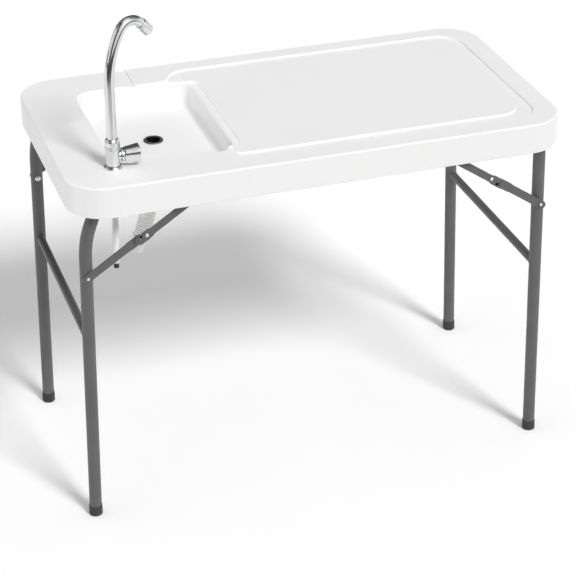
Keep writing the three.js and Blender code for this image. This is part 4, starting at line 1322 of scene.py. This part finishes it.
# the studio as the polished metal sees it: dark wall at the front with a soft foot, post, pale walls, dark ceiling at the left and back
card("card_front", ring_of(1.6, 238, 287, 10, 0.12) + ring_of(1.6, 322, 184, 10, 1.05), [(0.05, 0.72), (0.0675, 0.64), (0.085, 0.50), (0.105, 0.35), (0.1375, 0.11), (0.20, 0.045), (0.2875, 0.15)])
card("card_post", ring_of(1.62, 206, 247, 4, 1.05) + ring_of(1.62, 247, 206, 4, 2.6), [(0.25, 0.13), (0.65, 0.16)])
card("card_high", ring_of(1.8, 150, 207, 5, 1.34) + ring_of(1.8, 207, 150, 5, 2.0), [(0.3, 0.85), (0.6, 0.75)])
card("card_cap", ring_of(1.8, 100, 240, 10, 2.05) + ring_of(0.8, 252, 96, 10, 3.4), [(0.51, 0.45), (0.60, 0.24), (0.70, 0.08), (0.85, 0.06)])
card("card_back", ring_of(2.6, 14, 96, 8, 2.2) + ring_of(1.0, 96, 14, 8, 3.6), [(0.55, 0.15), (0.60, 0.05), (0.73, 0.11), (0.85, 0.19), (0.90, 0.28)])
card("card_mid", ring_of(2.6, -25, 14, 4, 2.2) + ring_of(1.0, 14, -25, 4, 3.6), [(0.5, 0.30), (0.9, 0.28)])
card("card_line", ring_of(1.9, 146, 186, 4, 0.86) + ring_of(1.9, 186, 146, 4, 1.33), [(0.2, 0.28), (0.35, 0.28)])
card("card_side", ring_of(1.7, 303, 332, 4, 0.62) + ring_of(1.7, 332, 303, 4, 1.62), [(0.15, 0.33), (0.4, 0.33)])
card("card_pale", ring_of(3.2, 240, 395, 16, 0.0) + ring_of(3.2, 395, 240, 16, 4.4), [(0.0, 0.95), (1.0, 0.85)])

# far pale wall behind the floor's edge, seen directly only
wall = card("far_wall", [(14.8 * math.cos(math.radians(a)), 14.8 * math.sin(math.radians(a)), 0.0) for a in range(0, 361, 10)] +
            [(14.8 * math.cos(math.radians(a)), 14.8 * math.sin(math.radians(a)), 12.0) for a in range(360, -1, -10)], [(0.0, 0.97), (1.0, 0.97)])
wall.visible_camera = True
wall.visible_glossy = False

world = bpy.data.worlds.new("studio")
scene.world = world
world.use_nodes = True
wt = world.node_tree
wt.nodes.clear()
wo = wt.nodes.new("ShaderNodeOutputWorld")
bg = wt.nodes.new("ShaderNodeBackground")
tc = wt.nodes.new("ShaderNodeTexCoord")
sep = wt.nodes.new("ShaderNodeSeparateXYZ")
wt.links.new(tc.outputs["Generated"], sep.inputs[0])


def wnode(op, a, b=None):
    n = wt.nodes.new("ShaderNodeMath")
    n.operation = op
    for sock, val in zip(n.inputs, (a, b)):
        if val is None:
            continue
        if isinstance(val, (int, float)):
            sock.default_value = val
        else:
            wt.links.new(val, sock)
    return n.outputs[0]


def wstep(v, lo, hi, a, b):
    n = wt.nodes.new("ShaderNodeMapRange")
    n.interpolation_type = "SMOOTHSTEP"
    n.inputs["From Min"].default_value = lo
    n.inputs["From Max"].default_value = hi
    n.inputs["To Min"].default_value = a
    n.inputs["To Max"].default_value = b
    wt.links.new(v, n.inputs["Value"])
    return n.outputs[0]


dx, dy, dz = sep.outputs[0], sep.outputs[1], sep.outputs[2]
over = wstep(dz, 0.60, 0.74, 0.0, 0.90)
front = wnode("MULTIPLY", wstep(dy, -0.1, -0.75, 0.0, 0.02), wstep(dz, 0.74, 0.45, 0.0, 1.0))
side = wnode("MULTIPLY", wstep(dx, 0.35, 0.85, 0.0, 0.34), wstep(dz, 0.74, 0.45, 0.0, 1.0))
left = wnode("MULTIPLY", wstep(dx, -0.50, -0.90, 0.0, 1.6), wstep(dz, 0.60, 0.32, 0.0, 1.0))
total = wnode("ADD", wnode("ADD", over, front), wnode("ADD", side, left))
total = wnode("ADD", total, 0.07)
wt.links.new(total, bg.inputs[1])
wt.links.new(bg.outputs[0], wo.inputs[0])
